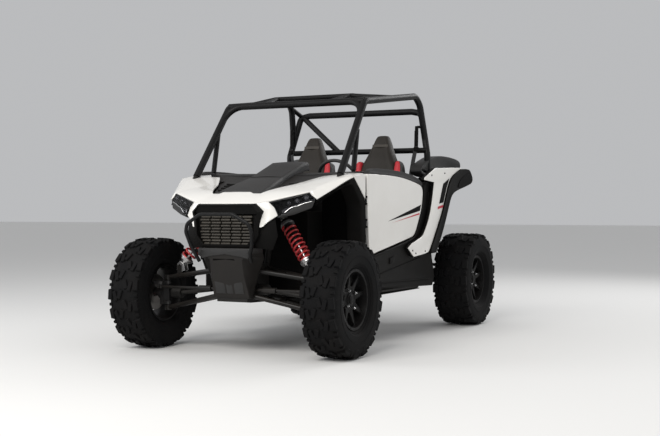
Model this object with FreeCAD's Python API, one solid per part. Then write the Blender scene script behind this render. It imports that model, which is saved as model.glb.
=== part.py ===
import FreeCAD
import Part
import math
import os

V = FreeCAD.Vector

# Driving dimensions of the vehicle, in millimetres
wheelbase = 2286.0
overall_width = 1626.0
body_width = 1320.0
cage_height = 1780.0

# Wheels and tyres
tyre_radius = 362.0
front_tyre_width = 235.0
rear_tyre_width = 285.0
rim_radius = 178.0
rim_flange_height = 11.0
rim_flange_thickness = 9.0
rim_wall = 9.0
front_rim_width = 178.0
rear_rim_width = 203.0
tyre_seat_gap = 0.3
lug_count = 17
lug_half_share = 0.235
lug_foot_share = 0.27
lug_root_share = 0.77
lug_core_share = 0.73
hub_radius = 80.0
hub_length = 46.0
spindle_radius = 24.0
spindle_clearance = 0.5
spoke_count = 8
spoke_width = 30.0
spoke_depth = 26.0
face_setback = 34.0

# Tubes
cage_tube_radius = 24.0
light_tube_radius = 17.5
brace_tube_radius = 21.0
frame_tube_radius = 19.0
arm_tube_radius = 15.0
bumper_tube_radius = 11.5
cage_bend = 95.0
rail_joint_share = 0.72
light_bend = 60.0
bumper_bend = 55.0

# Steering and front suspension
steering_axis_inset = 228.0
ball_joint_spread = 200.0
lower_joint_drop = 100.0
eye_radius = 22.0
eye_height = 30.0
stud_radius = 8.0
stud_clearance = 0.5
lug_gap = 8.0
upright_width = 70.0
upright_thickness = 26.0
upright_offset = 18.0
arm_lug_height = 20.0
steering_arm_length = 88.0
tie_rod_radius = 9.0
rack_rise = 44.0
tie_rod_gap = 5.0
rod_slide_clearance = 0.5
steering_wheel_radius = 172.0
steering_wheel_grip = 15.0
steering_wheel_tilt = 32.0
column_radius = 17.0
column_clearance = 0.5
column_sleeve_wall = 9.0

# Front differential case, which the front arms hang from
front_case_half_width = 110.0
front_case_nose = 148.5
front_case_tail = 125.0
front_case_top = 562.0
arm_pivot_radius = 18.0
arm_pivot_length = 40.0
arm_leg_spread = 100.0
arm_brace_share = 0.3
lower_pivot_height = 366.0
upper_pivot_height = 530.0
seat_gap = 0.3

# Springs and dampers
spring_radius = 48.0
spring_share = 0.66
damper_body_radius = 30.0
damper_rod_radius = 9.0
damper_eye_radius = 17.0
damper_eye_width = 34.0

# Drive
half_shaft_radius = 14.0
boot_radius = 34.0
boot_length = 70.0
front_shaft_rise = 40.0
rear_shaft_rise = 60.0
engine_width = 500.0
engine_length = 520.0
engine_height = 430.0
gearbox_width = 230.0
gearbox_length = 322.0
gearbox_height = 300.0
exhaust_pipe_radius = 24.0
silencer_radius = 88.0
silencer_length = 520.0

# Walls
panel_thickness = 8.0
door_thickness = 34.0
trim_thickness = 34.0
rocker_thickness = 40.0
quarter_thickness = 34.0
flare_thickness = 60.0
tub_wall = 6.0
bed_wall = 10.0
bed_hole_radius = 6.0
bed_bolt_spacing_x = 760.0
bed_bolt_spacing_y = 300.0
skid_thickness = 6.0
tube_clearance = 0.8
overrun = 20.0

# Seats
seat_width = 460.0

half_body = body_width / 2
half_overall = overall_width / 2
axle_y = wheelbase / 2


def place(x_share, y_share, z_share):
    return V(x_share * half_body, y_share * wheelbase, z_share * cage_height)


def places(shares):
    return [place(x, y, z) for x, y, z in shares]


def mirrored(shape):
    return shape.mirror(V(0, 0, 0), V(1, 0, 0))


def both_sides(shape):
    return Part.makeCompound([shape, mirrored(shape)])


def opposite(points):
    return [V(-p.x, p.y, p.z) for p in points]


def fused(shapes):
    whole = shapes[0]
    for shape in shapes[1:]:
        whole = whole.fuse(shape)
    return whole.removeSplitter()


def polygon_face(points):
    return Part.Face(Part.makePolygon(points + [points[0]]))


def rod(start, end, radius):
    direction = end - start
    return Part.makeCylinder(radius, direction.Length, start, direction)


def box(low, high):
    size = high - low
    return Part.makeBox(size.x, size.y, size.z, low)


def tube_path(points, bend):
    """Straight runs joined by tangent arcs of one bend radius."""
    edges = []
    start = points[0]
    for before, corner, after in zip(points, points[1:], points[2:]):
        into = (corner - before).normalize()
        out = (after - corner).normalize()
        turn = into.getAngle(out)
        room = min((corner - start).Length, (after - corner).Length / 2)
        cut = min(bend * math.tan(turn / 2), room * 0.9)
        radius = cut / math.tan(turn / 2)
        arc_start = corner - into * cut
        arc_end = corner + out * cut
        inward = (out - into).normalize()
        centre_distance = radius / math.cos(turn / 2)
        middle = corner + inward * (centre_distance - radius)
        edges.append(Part.LineSegment(start, arc_start).toShape())
        edges.append(Part.Arc(arc_start, middle, arc_end).toShape())
        start = arc_end
    edges.append(Part.LineSegment(start, points[-1]).toShape())
    return Part.Wire(edges)


def tube(points, radius, bend):
    if len(points) == 2:
        return rod(points[0], points[1], radius)
    path = tube_path(points, bend)
    ring = Part.Wire(Part.makeCircle(radius, points[0], points[1] - points[0]))
    return path.makePipeShell([ring], True, True)


def side_plate(outline_shares, x_outer, thickness):
    """A flat panel in the side view, from its outer face inward."""
    points = [V(x_outer, y * wheelbase, z * cage_height) for y, z in outline_shares]
    return polygon_face(points).extrude(V(-thickness, 0, 0))


def skin(sections, inward):
    """A thin wall through open sections, each pushed inward by one vector."""
    wires = []
    for section in sections:
        back = [p + inward for p in reversed(section)]
        wires.append(Part.makePolygon(section + back + [section[0]]))
    return Part.makeLoft(wires, True, True)


def block(sections):
    wires = [Part.makePolygon(s + [s[0]]) for s in sections]
    return Part.makeLoft(wires, True, True)


def cross_sections(stations):
    """Sections across the vehicle: one y share, then x and z shares."""
    return [[place(x, y, z) for x, z in points] for y, points in stations]


def lengthwise_sections(stations):
    """Sections along the vehicle: one x share, then y and z shares."""
    return [[place(x, y, z) for y, z in points] for x, points in stations]


def level_sections(stations):
    """Level sections: one z share, then x and y shares."""
    return [[place(x, y, z) for x, y in points] for z, points in stations]


# Tyres and wheels, built for the left side with the axis along x


def front_wheel_x():
    return half_overall - front_tyre_width / 2


def rear_wheel_x():
    return half_overall - rear_tyre_width / 2


carcass_shares = (
    (0.93, 0.615), (0.985, 0.76), (0.8, 0.9558),
)
lug_bands = (
    (-0.965, -0.06, 0), (0.06, 0.965, 0.5),
)
lug_trim_shares = (
    (0.06, 1.025), (0.62, 1.02), (0.965, 0.95),
)


def wheel_ring(x, radius, sides):
    """Corners of an even polygon round the x axis."""
    turn = 2 * math.pi / sides
    angles = [turn * (number + 0.5) for number in range(sides)]
    return [V(x, radius * math.sin(a), -radius * math.cos(a)) for a in angles]


def ring_block(rings):
    """A many-sided solid of flat faces through equal rings of corners."""
    faces = [polygon_face(rings[0]), polygon_face(rings[-1])]
    for near, far in zip(rings, rings[1:]):
        for here in range(len(near)):
            faces.append(polygon_face([near[here - 1], near[here], far[here], far[here - 1]]))
    return Part.makeSolid(Part.makeShell(faces))


def lug_band(low, high, phase):
    """A toothed disc whose teeth stand out of the carcass as one row of lugs."""
    pitch = 2 * math.pi / lug_count
    root = tyre_radius * lug_root_share
    corners = []
    for number in range(lug_count):
        for share, radius in ((-lug_foot_share, root), (-lug_half_share, tyre_radius),
                              (lug_half_share, tyre_radius), (lug_foot_share, root)):
            angle = (number + phase + lug_half_share + share) * pitch
            corners.append(V(low, radius * math.sin(angle), -radius * math.cos(angle)))
    core = polygon_face(wheel_ring(low, tyre_radius * lug_core_share, lug_count))
    ring = polygon_face(corners).cut(core).Faces[0]
    return ring.extrude(V(high - low, 0, 0))


def shoulder_trim(half, side):
    """The disc that slopes off the outer end of a row of shoulder lugs."""
    return ring_block([wheel_ring(side * x * half, r * tyre_radius, lug_count) for x, r in lug_trim_shares])


def tyre(width, rim_width):
    flat_share = math.cos(math.pi / lug_count)
    seat = (rim_radius + tyre_seat_gap) / flat_share
    bead = rim_width / 2 - rim_flange_thickness - tyre_seat_gap
    half = width / 2
    flange_top = (rim_radius + rim_flange_height + tyre_seat_gap) / flat_share
    left = [(-bead, flange_top)] + [(-x * half, r * tyre_radius) for x, r in carcass_shares]
    right = [(-x, r) for x, r in reversed(left)]
    whole = ring_block([wheel_ring(x, r, lug_count) for x, r in left + right])
    for low, high, phase in lug_bands:
        teeth = lug_band(low * half, high * half, phase)
        whole = whole.fuse(teeth.common(shoulder_trim(half, math.copysign(1, low))))
    hole = polygon_face(wheel_ring(-width, seat, lug_count)).extrude(V(width * 2, 0, 0))
    return whole.removeSplitter().cut(hole)


def rim(rim_width):
    half = rim_width / 2
    flange = rim_radius + rim_flange_height
    inner = rim_radius - rim_wall
    lip = half - rim_flange_thickness
    profile = [V(-half, inner, 0), V(half, inner, 0), V(half, flange, 0), V(lip, flange, 0),
               V(lip, rim_radius, 0), V(-lip, rim_radius, 0), V(-lip, flange, 0), V(-half, flange, 0)]
    barrel = polygon_face(profile).revolve(V(0, 0, 0), V(1, 0, 0), 360)
    face_x = half - face_setback
    hub_start = V(face_x - hub_length, 0, 0)
    hub = Part.makeCylinder(hub_radius, hub_length, hub_start, V(1, 0, 0))
    pieces = [barrel, hub]
    spoke_low = V(face_x - spoke_depth, -spoke_width / 2, hub_radius * 0.8)
    spoke_high = V(face_x, spoke_width / 2, inner + rim_wall * 0.5)
    spoke = box(spoke_low, spoke_high)
    for number in range(spoke_count):
        turned = spoke.copy()
        turned.rotate(V(0, 0, 0), V(1, 0, 0), 360 / spoke_count * number)
        pieces.append(turned)
    whole = fused(pieces)
    bore_depth = hub_length * 0.75
    bore = Part.makeCylinder(spindle_radius + spindle_clearance, bore_depth + overrun,
                             hub_start - V(overrun, 0, 0), V(1, 0, 0))
    return whole.cut(bore)


def spindle_end(wheel_x, rim_width):
    """Where the spindle stops inside the bore of the hub."""
    hub_start = wheel_x + rim_width / 2 - face_setback - hub_length
    return hub_start + hub_length * 0.6


def wheel_pieces():
    front = V(front_wheel_x(), -axle_y, tyre_radius)
    rear = V(rear_wheel_x(), axle_y, tyre_radius)
    table = {}
    for name, spot, width, rim_width in (("front", front, front_tyre_width, front_rim_width),
                                         ("rear", rear, rear_tyre_width, rear_rim_width)):
        rubber = tyre(width, rim_width).translated(spot)
        metal = rim(rim_width).translated(spot)
        table["tyre_%s_left" % name] = rubber
        table["tyre_%s_right" % name] = mirrored(rubber)
        table["rim_%s_left" % name] = metal
        table["rim_%s_right" % name] = mirrored(metal)
    return table


# Front suspension and steering

steering_x = half_overall - steering_axis_inset
lower_joint_z = tyre_radius - lower_joint_drop
upper_joint_z = lower_joint_z + ball_joint_spread
pivot_x = front_case_half_width + arm_pivot_radius + seat_gap


def front_arm(pivot_height, joint_height):
    """One two-legged arm with its joint eye and its two pivot sleeves."""
    joint = V(steering_x, -axle_y, joint_height)
    eye_base = joint - V(0, 0, eye_height / 2)
    eye = Part.makeCylinder(eye_radius, eye_height, eye_base)
    pieces = [eye]
    for side in (-1, 1):
        pivot = V(pivot_x, -axle_y + side * arm_leg_spread, pivot_height)
        sleeve_base = pivot - V(0, arm_pivot_length / 2, 0)
        pieces.append(Part.makeCylinder(arm_pivot_radius, arm_pivot_length, sleeve_base, V(0, 1, 0)))
        pieces.append(rod(pivot, joint, arm_tube_radius))
    front_leg = V(pivot_x, -axle_y - arm_leg_spread, pivot_height)
    rear_leg = V(pivot_x, -axle_y + arm_leg_spread, pivot_height)
    start = front_leg + (joint - front_leg) * arm_brace_share
    end = rear_leg + (joint - rear_leg) * arm_brace_share
    pieces.append(rod(start, end, arm_tube_radius * 0.8))
    return fused(pieces)


def bored_arm(arm, joint_height):
    bore_base = V(steering_x, -axle_y, joint_height - eye_height)
    bore = Part.makeCylinder(stud_radius + stud_clearance, eye_height * 2, bore_base)
    return arm.cut(bore)


damper_front_lower_share = (0.7273, -0.5, 0.3062)
damper_front_upper_share = (0.3364, -0.4593, 0.4944)
damper_rear_upper_share = (0.6818, 0.3018, 0.4879)
damper_rear_lower_share = (0.3806, 0.2596)


def clevis(eye_point, foot):
    """Two ears that hold a damper eye, standing on an arm."""
    ears = []
    ear_thickness = damper_eye_width * 0.25
    for side in (-1, 1):
        middle = damper_eye_width / 2 + seat_gap + ear_thickness / 2
        shift = V(0, side * middle, 0)
        across = V(damper_eye_radius, 0, 0)
        half_thick = V(0, ear_thickness / 2, 0)
        corners = [foot + shift - across, foot + shift + across,
                   eye_point + shift + across, eye_point + shift - across]
        lowered = [c - half_thick for c in corners]
        level = [V(c.x, eye_point.y + shift.y - ear_thickness / 2, c.z) for c in lowered]
        ears.append(polygon_face(level).extrude(V(0, ear_thickness, 0)))
    return ears


def front_arms():
    lower = bored_arm(front_arm(lower_pivot_height, lower_joint_z), lower_joint_z)
    upper = bored_arm(front_arm(upper_pivot_height, upper_joint_z), upper_joint_z)
    eye_point = place(*damper_front_lower_share)
    reach = (eye_point.x - pivot_x) / (steering_x - pivot_x)
    height = upper_pivot_height + (upper_joint_z - upper_pivot_height) * reach
    foot = V(eye_point.x, eye_point.y, height)
    bridge_half = arm_leg_spread * (1 - reach)
    bridge = rod(foot - V(0, bridge_half, 0), foot + V(0, bridge_half, 0), arm_tube_radius)
    upper = fused([upper, bridge] + clevis(eye_point, foot))
    return lower, upper


def knuckle():
    upright_x = steering_x + upright_offset
    low_z = lower_joint_z + eye_height / 2 + lug_gap
    high_z = upper_joint_z - eye_height / 2 - lug_gap
    upright = box(V(upright_x, -axle_y - upright_width / 2, low_z),
                  V(upright_x + upright_thickness, -axle_y + upright_width / 2, high_z))
    lug_half = stud_radius * 2
    lugs = []
    for base_z in (low_z, high_z - arm_lug_height):
        lugs.append(Part.makeCylinder(lug_half, arm_lug_height, V(steering_x, -axle_y, base_z)))
        lugs.append(box(V(steering_x, -axle_y - lug_half, base_z),
                        V(upright_x + upright_thickness / 2, -axle_y + lug_half, base_z + arm_lug_height)))
    lower_stud = Part.makeCylinder(stud_radius, eye_height + lug_gap,
                                   V(steering_x, -axle_y, lower_joint_z - eye_height / 2))
    upper_stud = Part.makeCylinder(stud_radius, eye_height + lug_gap,
                                   V(steering_x, -axle_y, high_z))
    spindle_start = V(upright_x + upright_thickness / 2, -axle_y, tyre_radius)
    spindle_stop = V(spindle_end(front_wheel_x(), front_rim_width), -axle_y, tyre_radius)
    spindle = rod(spindle_start, spindle_stop, spindle_radius)
    flange = rod(spindle_start, spindle_start + V(upright_thickness, 0, 0), upright_width * 0.62)
    arm_z = tie_rod_height + tie_rod_radius + tie_rod_gap
    arm_start = V(upright_x, -axle_y, arm_z)
    arm = box(arm_start - V(stud_radius * 2, steering_arm_length + stud_radius * 2, 0),
              arm_start + V(upright_thickness, 0, arm_lug_height))
    tip = V(steering_x, -axle_y - steering_arm_length, arm_z)
    tip_pad = Part.makeCylinder(stud_radius * 2, arm_lug_height, tip)
    return fused([upright] + lugs + [lower_stud, upper_stud, spindle, flange, arm, tip_pad])


tie_rod_height = tyre_radius + rack_rise


def tie_rods():
    """The steering rack and its two rods, level and across the vehicle."""
    y = -axle_y - steering_arm_length
    tip = steering_x
    whole = rod(V(-tip, y, tie_rod_height), V(tip, y, tie_rod_height), tie_rod_radius)
    ends = []
    for side in (-1, 1):
        ball = Part.makeCylinder(tie_rod_radius * 1.6, tie_rod_radius * 2,
                                 V(side * tip, y, tie_rod_height - tie_rod_radius))
        boot = rod(V(side * pivot_x * 1.5, y, tie_rod_height), V(side * pivot_x * 2.2, y, tie_rod_height),
                   tie_rod_radius * 2)
        ends = ends + [ball, boot]
    return fused([whole] + ends)


def dampers_and_springs():
    """Four coil-over dampers: bodies with eyes, and the outer shape of their springs."""
    bodies = []
    springs = []
    lines = ((place(*damper_front_lower_share), place(*damper_front_upper_share)),
             (rear_damper_foot(), place(*damper_rear_upper_share)))
    for lower, upper in lines:
        along = upper - lower
        spring_start = lower + along * (0.5 - spring_share / 2)
        spring_end = lower + along * (0.5 + spring_share / 2)
        eye = Part.makeCylinder(damper_eye_radius, damper_eye_width,
                                lower - V(0, damper_eye_width / 2, 0), V(0, 1, 0))
        top_eye = Part.makeCylinder(damper_eye_radius, damper_eye_width,
                                    upper - V(0, damper_eye_width / 2, 0), V(0, 1, 0))
        core = rod(lower, upper, damper_rod_radius)
        body = rod(lower + along * 0.4, spring_end + along * 0.08, damper_body_radius)
        low_cup = rod(spring_start - along * 0.05, spring_start, spring_radius * 0.92)
        top_cup = rod(spring_end, spring_end + along * 0.05, spring_radius * 0.92)
        bodies.append(fused([core, eye, top_eye, body, low_cup, top_cup]))
        outer = rod(spring_start, spring_end, spring_radius)
        inner = rod(spring_start, spring_end, damper_body_radius + seat_gap)
        springs.append(outer.cut(inner))
    damper_pairs = bodies + [mirrored(b) for b in bodies]
    spring_pairs = springs + [mirrored(s) for s in springs]
    return Part.makeCompound(damper_pairs), Part.makeCompound(spring_pairs)


# Rear suspension

rear_carrier_x = half_overall - rear_tyre_width / 2 - rear_rim_width / 2 - overrun
rear_case_half_width = gearbox_width / 2
trailing_arm_shares = (
    (0.5278, 0.1925, 0.2247), (0.8226, 0.3806, 0.2163), (0.9973, 0.4549, 0.2034),
    (1.0337, 0.4812, 0.2034),
)
rod_height_shares = (0.97, 1.2, 1.45)
radius_rod_inner_share = 0.555


def rear_place(x_share, y_share, z_share):
    """A point whose x is a share of the hub carrier's place."""
    return V(x_share * rear_carrier_x, y_share * wheelbase, z_share * cage_height)


def rear_damper_foot():
    x_share = trailing_arm_shares[1][0]
    return rear_place(x_share, *damper_rear_lower_share)


def rear_arms():
    """A trailing arm with its hub carrier, spindle and three radius rods."""
    path = [rear_place(*shares) for shares in trailing_arm_shares]
    arm = tube(path, arm_tube_radius * 1.8, light_bend)
    carrier = box(V(rear_carrier_x, axle_y - upright_width * 0.7, tyre_radius - upright_width),
                  V(rear_carrier_x + upright_thickness * 2, axle_y + upright_width * 1.1,
                    tyre_radius + upright_width))
    spindle_start = V(rear_carrier_x + upright_thickness, axle_y, tyre_radius)
    spindle = rod(spindle_start, V(spindle_end(rear_wheel_x(), rear_rim_width), axle_y, tyre_radius),
                  spindle_radius)
    pieces = [arm, carrier, spindle]
    for number, share in enumerate(rod_height_shares):
        outer = V(rear_carrier_x + upright_thickness, axle_y + upright_width * 0.9,
                  tyre_radius + upright_width * (number - 1) * 0.7)
        inner = V(rear_case_half_width + arm_pivot_radius + seat_gap, radius_rod_inner_share * wheelbase,
                  tyre_radius * share)
        pieces.append(rod(inner, outer, arm_tube_radius * 0.8))
        pieces.append(Part.makeCylinder(arm_pivot_radius, arm_pivot_length * 0.7,
                                        inner - V(0, arm_pivot_length * 0.35, 0), V(0, 1, 0)))
    ears = clevis(rear_damper_foot(), path[1])
    sleeve = Part.makeCylinder(arm_pivot_radius * 1.4, arm_pivot_length,
                               path[0] - V(arm_pivot_length / 2, 0, 0), V(1, 0, 0))
    return fused(pieces + [sleeve] + ears)


def half_shafts():
    shafts = []
    front_start = V(front_case_half_width + seat_gap, -axle_y, tyre_radius + front_shaft_rise)
    front_stop = V(steering_x - eye_radius - overrun, -axle_y, tyre_radius)
    rear_start = V(rear_case_half_width + seat_gap, axle_y, tyre_radius + rear_shaft_rise)
    rear_stop = V(rear_carrier_x - seat_gap, axle_y, tyre_radius)
    for start, stop in ((front_start, front_stop), (rear_start, rear_stop)):
        flat_start = start + V(boot_length, 0, 0)
        flat_stop = stop - V(boot_length, 0, 0)
        shafts.append(fused([Part.makeCylinder(boot_radius, boot_length, start, V(1, 0, 0)),
                             rod(flat_start - V(overrun, 0, 0), flat_stop + V(overrun, 0, 0), half_shaft_radius),
                             Part.makeCylinder(boot_radius, boot_length, flat_stop, V(1, 0, 0))]))
    return Part.makeCompound(shafts + [mirrored(s) for s in shafts])


# Cage

rail_shares = (
    (0.8273, -0.3784, 0.6371), (0.803, -0.2017, 0.9219), (0.8152, 0.1881, 0.9843),
    (0.8258, 0.2187, 0.9494), (0.8515, 0.2467, 0.809), (0.8879, 0.2384, 0.7472),
    (0.897, 0.245, 0.5197),
)
thin_post_shares = (
    (0.8197, -0.2865, 0.6562), (0.8182, -0.2616, 0.809),
)
header_shares = (
    (0.803, -0.2017, 0.9219), (-0.803, -0.2017, 0.9219),
)
crown_shares = (
    (0.8076, -0.0787, 0.9421), (0.4697, -0.0787, 0.9618), (-0.4697, -0.0787, 0.9618),
    (-0.8076, -0.0787, 0.9421),
)
roof_front_shares = (
    (0.3788, -0.2017, 0.9219), (0.4394, -0.0787, 0.9618),
)
roof_rear_shares = (
    (0.5, -0.0787, 0.96), (0.8106, 0.0656, 0.964),
)
hoop_shares = (
    (0.8879, 0.2384, 0.7472), (0.7803, 0.2625, 0.9213), (0.6667, 0.2625, 0.9298),
    (-0.6667, 0.2625, 0.9298), (-0.7803, 0.2625, 0.9213), (-0.8879, 0.2384, 0.7472),
)
lower_cross_shares = (
    (0.8879, 0.2353, 0.7618), (-0.8879, 0.2353, 0.7618),
)
diagonal_shares = (
    (-0.75, 0.2625, 0.9242), (-0.2273, 0.2371, 0.7618),
)
brace_shares = (
    (0.7652, 0.2625, 0.9258), (0.8212, 0.21, 0.9618),
)


def rail_joint():
    """Where the front and rear halves of the cage are bolted together."""
    corner, back = places(rail_shares)[1:3]
    return corner + (back - corner) * rail_joint_share


def cage_front():
    pillar, corner = places(rail_shares)[:2]
    side = tube([pillar, corner, rail_joint()], cage_tube_radius, cage_bend)
    post = tube(places(thin_post_shares), light_tube_radius, light_bend)
    front_tube = tube(places(roof_front_shares), light_tube_radius, light_bend)
    rear_tube = tube(places(roof_rear_shares), light_tube_radius, light_bend)
    header = tube(places(header_shares), cage_tube_radius, cage_bend)
    crown = tube(places(crown_shares), light_tube_radius, light_bend)
    pieces = [header, side, mirrored(side), crown]
    for piece in (front_tube, rear_tube, post):
        pieces.append(piece)
        pieces.append(mirrored(piece))
    return fused(pieces)


def cage_rear_tubes(extra):
    side = tube([rail_joint()] + places(rail_shares)[2:], cage_tube_radius + extra, cage_bend)
    brace = tube(places(brace_shares), light_tube_radius + extra, light_bend)
    hoop = tube(places(hoop_shares), cage_tube_radius + extra, cage_bend * 0.5)
    lower = tube(places(lower_cross_shares), brace_tube_radius + extra, light_bend)
    diagonal = tube(places(diagonal_shares), brace_tube_radius + extra, light_bend)
    return [side, mirrored(side), brace, mirrored(brace), hoop, lower, diagonal]


def cage_rear():
    return fused(cage_rear_tubes(0))


# Frame under the body

rail_height_share = 0.1966
rail_height = rail_height_share * cage_height
front_case_bottom = rail_height - frame_tube_radius
main_rail_shares = (
    (0.1288, -0.4506, 0.1966), (0.3409, -0.35, 0.1966), (0.3409, 0.21, 0.1966),
    (0.2121, 0.4374, 0.1966), (0.2121, 0.5424, 0.1966),
)
outer_rail_shares = (
    (0.3409, -0.28, 0.1966), (0.8182, -0.245, 0.1966), (0.8485, 0.1881, 0.1966),
    (0.3409, 0.2362, 0.1966),
)
cross_tube_stations = (-0.30, -0.05, 0.14)
tower_shares = (
    (0.1364, -0.5468, 0.3146), (0.25, -0.5402, 0.4663), (0.7424, -0.4199, 0.5685),
    (0.8326, -0.3959, 0.609), (0.8274, -0.379, 0.636),
)
b_post_shares = (
    (0.897, 0.245, 0.519), (0.8939, 0.2428, 0.3483), (0.8485, 0.1881, 0.1966),
)
bed_cross_shares = (
    (0.8182, 0.4584, 0.5084), (-0.8182, 0.4584, 0.5084),
)
tower_rear_shares = (
    (0.1364, -0.4418, 0.3146), (0.2273, -0.4528, 0.4944), (0.2273, -0.5359, 0.4579),
)
dash_bar_shares = (
    (0.7364, -0.4186, 0.5685), (-0.7364, -0.4186, 0.5685),
)
bed_front_cross_shares = (
    (0.8182, 0.3018, 0.5084), (-0.8182, 0.3018, 0.5084),
)
rear_post_shares = (
    (0.2121, 0.5315, 0.1966), (0.3636, 0.5315, 0.3933), (0.4545, 0.4584, 0.5084),
)
bed_rail_shares = (
    (0.897, 0.245, 0.5056), (0.8182, 0.28, 0.5084), (0.8182, 0.4584, 0.5084),
)
damper_mount_front_shares = (
    (0.31, -0.4528, 0.4944), (-0.31, -0.4528, 0.4944),
)


def front_case():
    low = V(-front_case_half_width, -axle_y - front_case_nose, front_case_bottom)
    high = V(front_case_half_width, -axle_y + front_case_tail, front_case_top)
    case = box(low, high)
    rack_hole = Part.makeCylinder(tie_rod_radius + rod_slide_clearance, front_case_half_width * 2 + overrun * 2,
                                  V(-front_case_half_width - overrun, -axle_y - steering_arm_length,
                                    tie_rod_height), V(1, 0, 0))
    return case.cut(rack_hole)


def frame_tubes(extra):
    """All tubes of the frame, each thicker by a clearance when they cut a panel."""
    radius = frame_tube_radius + extra
    left = []
    for shares in (main_rail_shares, outer_rail_shares, tower_shares, tower_rear_shares, rear_post_shares,
                   bed_rail_shares, b_post_shares):
        left.append(tube(places(shares), radius, light_bend))
    middle = []
    for station in cross_tube_stations:
        half = place(main_rail_shares[1][0], station, 0)
        start = V(half.x, half.y, rail_height)
        middle.append(rod(start, V(-start.x, start.y, start.z), radius))
    for shares in (dash_bar_shares, damper_mount_front_shares, bed_cross_shares, bed_front_cross_shares):
        middle.append(tube(places(shares), radius, light_bend))
    return left + [mirrored(s) for s in left] + middle


def chassis_frame():
    return fused([front_case()] + frame_tubes(0))


# Cab tub, floor and dash

tub_half_share = 0.9091
footwell_share = 0.56
tub_length_shares = (-0.4, -0.2905, 0.175)
tub_height_shares = (0.337, 0.52, 0.5054)
stand_length_shares = (-0.065, 0.085)
stand_half_share = 0.3


def floor_tub():
    """The open cab shell: a wide floor, a narrow footwell and the seat-back wall."""
    half = tub_half_share * half_body
    foot_half = half * footwell_share
    floor_z = rail_height + frame_tube_radius + seat_gap
    foot_front, step_y, back_y = [share * wheelbase for share in tub_length_shares]
    side_top, back_top, foot_top = [share * cage_height for share in tub_height_shares]
    outer = fused([box(V(-half, step_y, floor_z), V(half, back_y, side_top)),
                   box(V(-foot_half, foot_front, floor_z), V(foot_half, step_y + tub_wall, foot_top)),
                   box(V(-half, back_y - tub_wall, floor_z), V(half, back_y, back_top))])
    inner = fused([box(V(-half + tub_wall, step_y + tub_wall, floor_z + tub_wall),
                       V(half - tub_wall, back_y - tub_wall, back_top + overrun)),
                   box(V(-foot_half + tub_wall, foot_front + tub_wall, floor_z + tub_wall),
                       V(foot_half - tub_wall, step_y + tub_wall * 2, foot_top + overrun))])
    shell = outer.cut(inner)
    seat_middle = seat_centre_share * half_body
    stand_half = seat_width * stand_half_share
    stand_front, stand_back = [share * wheelbase for share in stand_length_shares]
    stand_top = seat_bottom_share * cage_height - seat_gap
    stands = []
    for side in (-1, 1):
        stands.append(box(V(side * seat_middle - stand_half, stand_front, floor_z),
                          V(side * seat_middle + stand_half, stand_back, stand_top)))
    return fused([shell] + stands)


def skid_plate():
    points = [place(x, y, 0) for x, y in skid_outline_shares]
    base_z = rail_height - frame_tube_radius - seat_gap - skid_thickness
    raised = [V(p.x, p.y, base_z) for p in points + opposite(points[::-1])]
    return polygon_face(raised).extrude(V(0, 0, skid_thickness))


skid_outline_shares = (
    (0.1515, -0.5381), (0.3409, -0.35), (0.8636, -0.2625), (0.8636, 0.1881), (0.3409, 0.2275),
    (0.1667, 0.4374),
)

dash_half_share = 0.77
dash_outline_shares = (
    (-0.3084, 0.5056), (-0.245, 0.5225), (-0.2275, 0.5955), (-0.2406, 0.6433),
    (-0.3084, 0.6433),
)


def dashboard():
    half = half_body * dash_half_share
    panel = side_plate(dash_outline_shares, half, half * 2)
    centre, axis = steering_wheel_axis()
    sleeve_start = centre - axis * (steering_column_length * 1.4)
    sleeve_end = centre - axis * (steering_column_length * 0.55)
    sleeve = rod(sleeve_start, sleeve_end, column_radius + column_clearance + column_sleeve_wall)
    bore = rod(centre - axis * (steering_column_length * 1.1), centre, column_radius + column_clearance)
    return fused([panel, sleeve]).cut(bore)


def steering_wheel_axis():
    tilt = math.radians(steering_wheel_tilt)
    return place(*steering_wheel_share), V(0, math.cos(tilt), math.sin(tilt))


def steering_wheel():
    centre, axis = steering_wheel_axis()
    ring = Part.makeTorus(steering_wheel_radius, steering_wheel_grip, V(0, 0, 0), V(0, 0, 1))
    hub = Part.makeCylinder(steering_wheel_grip * 3, steering_wheel_grip * 2, V(0, 0, -steering_wheel_grip))
    pieces = [ring, hub]
    for angle in (0, 90, 180):
        arm = box(V(0, -steering_wheel_grip, -steering_wheel_grip * 0.3),
                  V(steering_wheel_radius, steering_wheel_grip, steering_wheel_grip * 0.4))
        arm.rotate(V(0, 0, 0), V(0, 0, 1), angle)
        pieces.append(arm)
    whole = fused(pieces)
    whole.Placement = FreeCAD.Placement(centre, FreeCAD.Rotation(V(0, 0, 1), axis))
    column = rod(centre - axis * steering_column_length, centre, column_radius)
    return fused([whole, column])


steering_wheel_share = (0.4545, -0.175, 0.6292)
steering_column_length = 120.0


# Body panels

hood_stations = (
    (-0.5376, ((-0.2636, 0.5719), (0, 0.5719), (0.2636, 0.5719))),
    (-0.4374, ((-0.4379, 0.6017), (0, 0.5989), (0.4379, 0.6017))),
    (-0.3543, ((-0.5879, 0.6303), (0, 0.6281), (0.5879, 0.6303))),
    (-0.3062, ((-0.7121, 0.6506), (0, 0.6551), (0.7121, 0.6506))),
    (-0.2756, ((-0.8712, 0.6551), (0, 0.6607), (0.8712, 0.6551))),
)
scoop_stations = (
    (-0.4199, ((-0.1667, 0.5955), (-0.1667, 0.6079), (0.1667, 0.6079), (0.1667, 0.5955))),
    (-0.3832, ((-0.1803, 0.6096), (-0.1803, 0.6281), (0.1803, 0.6281), (0.1803, 0.6096))),
    (-0.245, ((-0.1894, 0.6517), (-0.1818, 0.6921), (0.1818, 0.6921), (0.1894, 0.6517))),
    (-0.2187, ((-0.1894, 0.6517), (-0.1788, 0.6944), (0.1788, 0.6944), (0.1894, 0.6517))),
)
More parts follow.
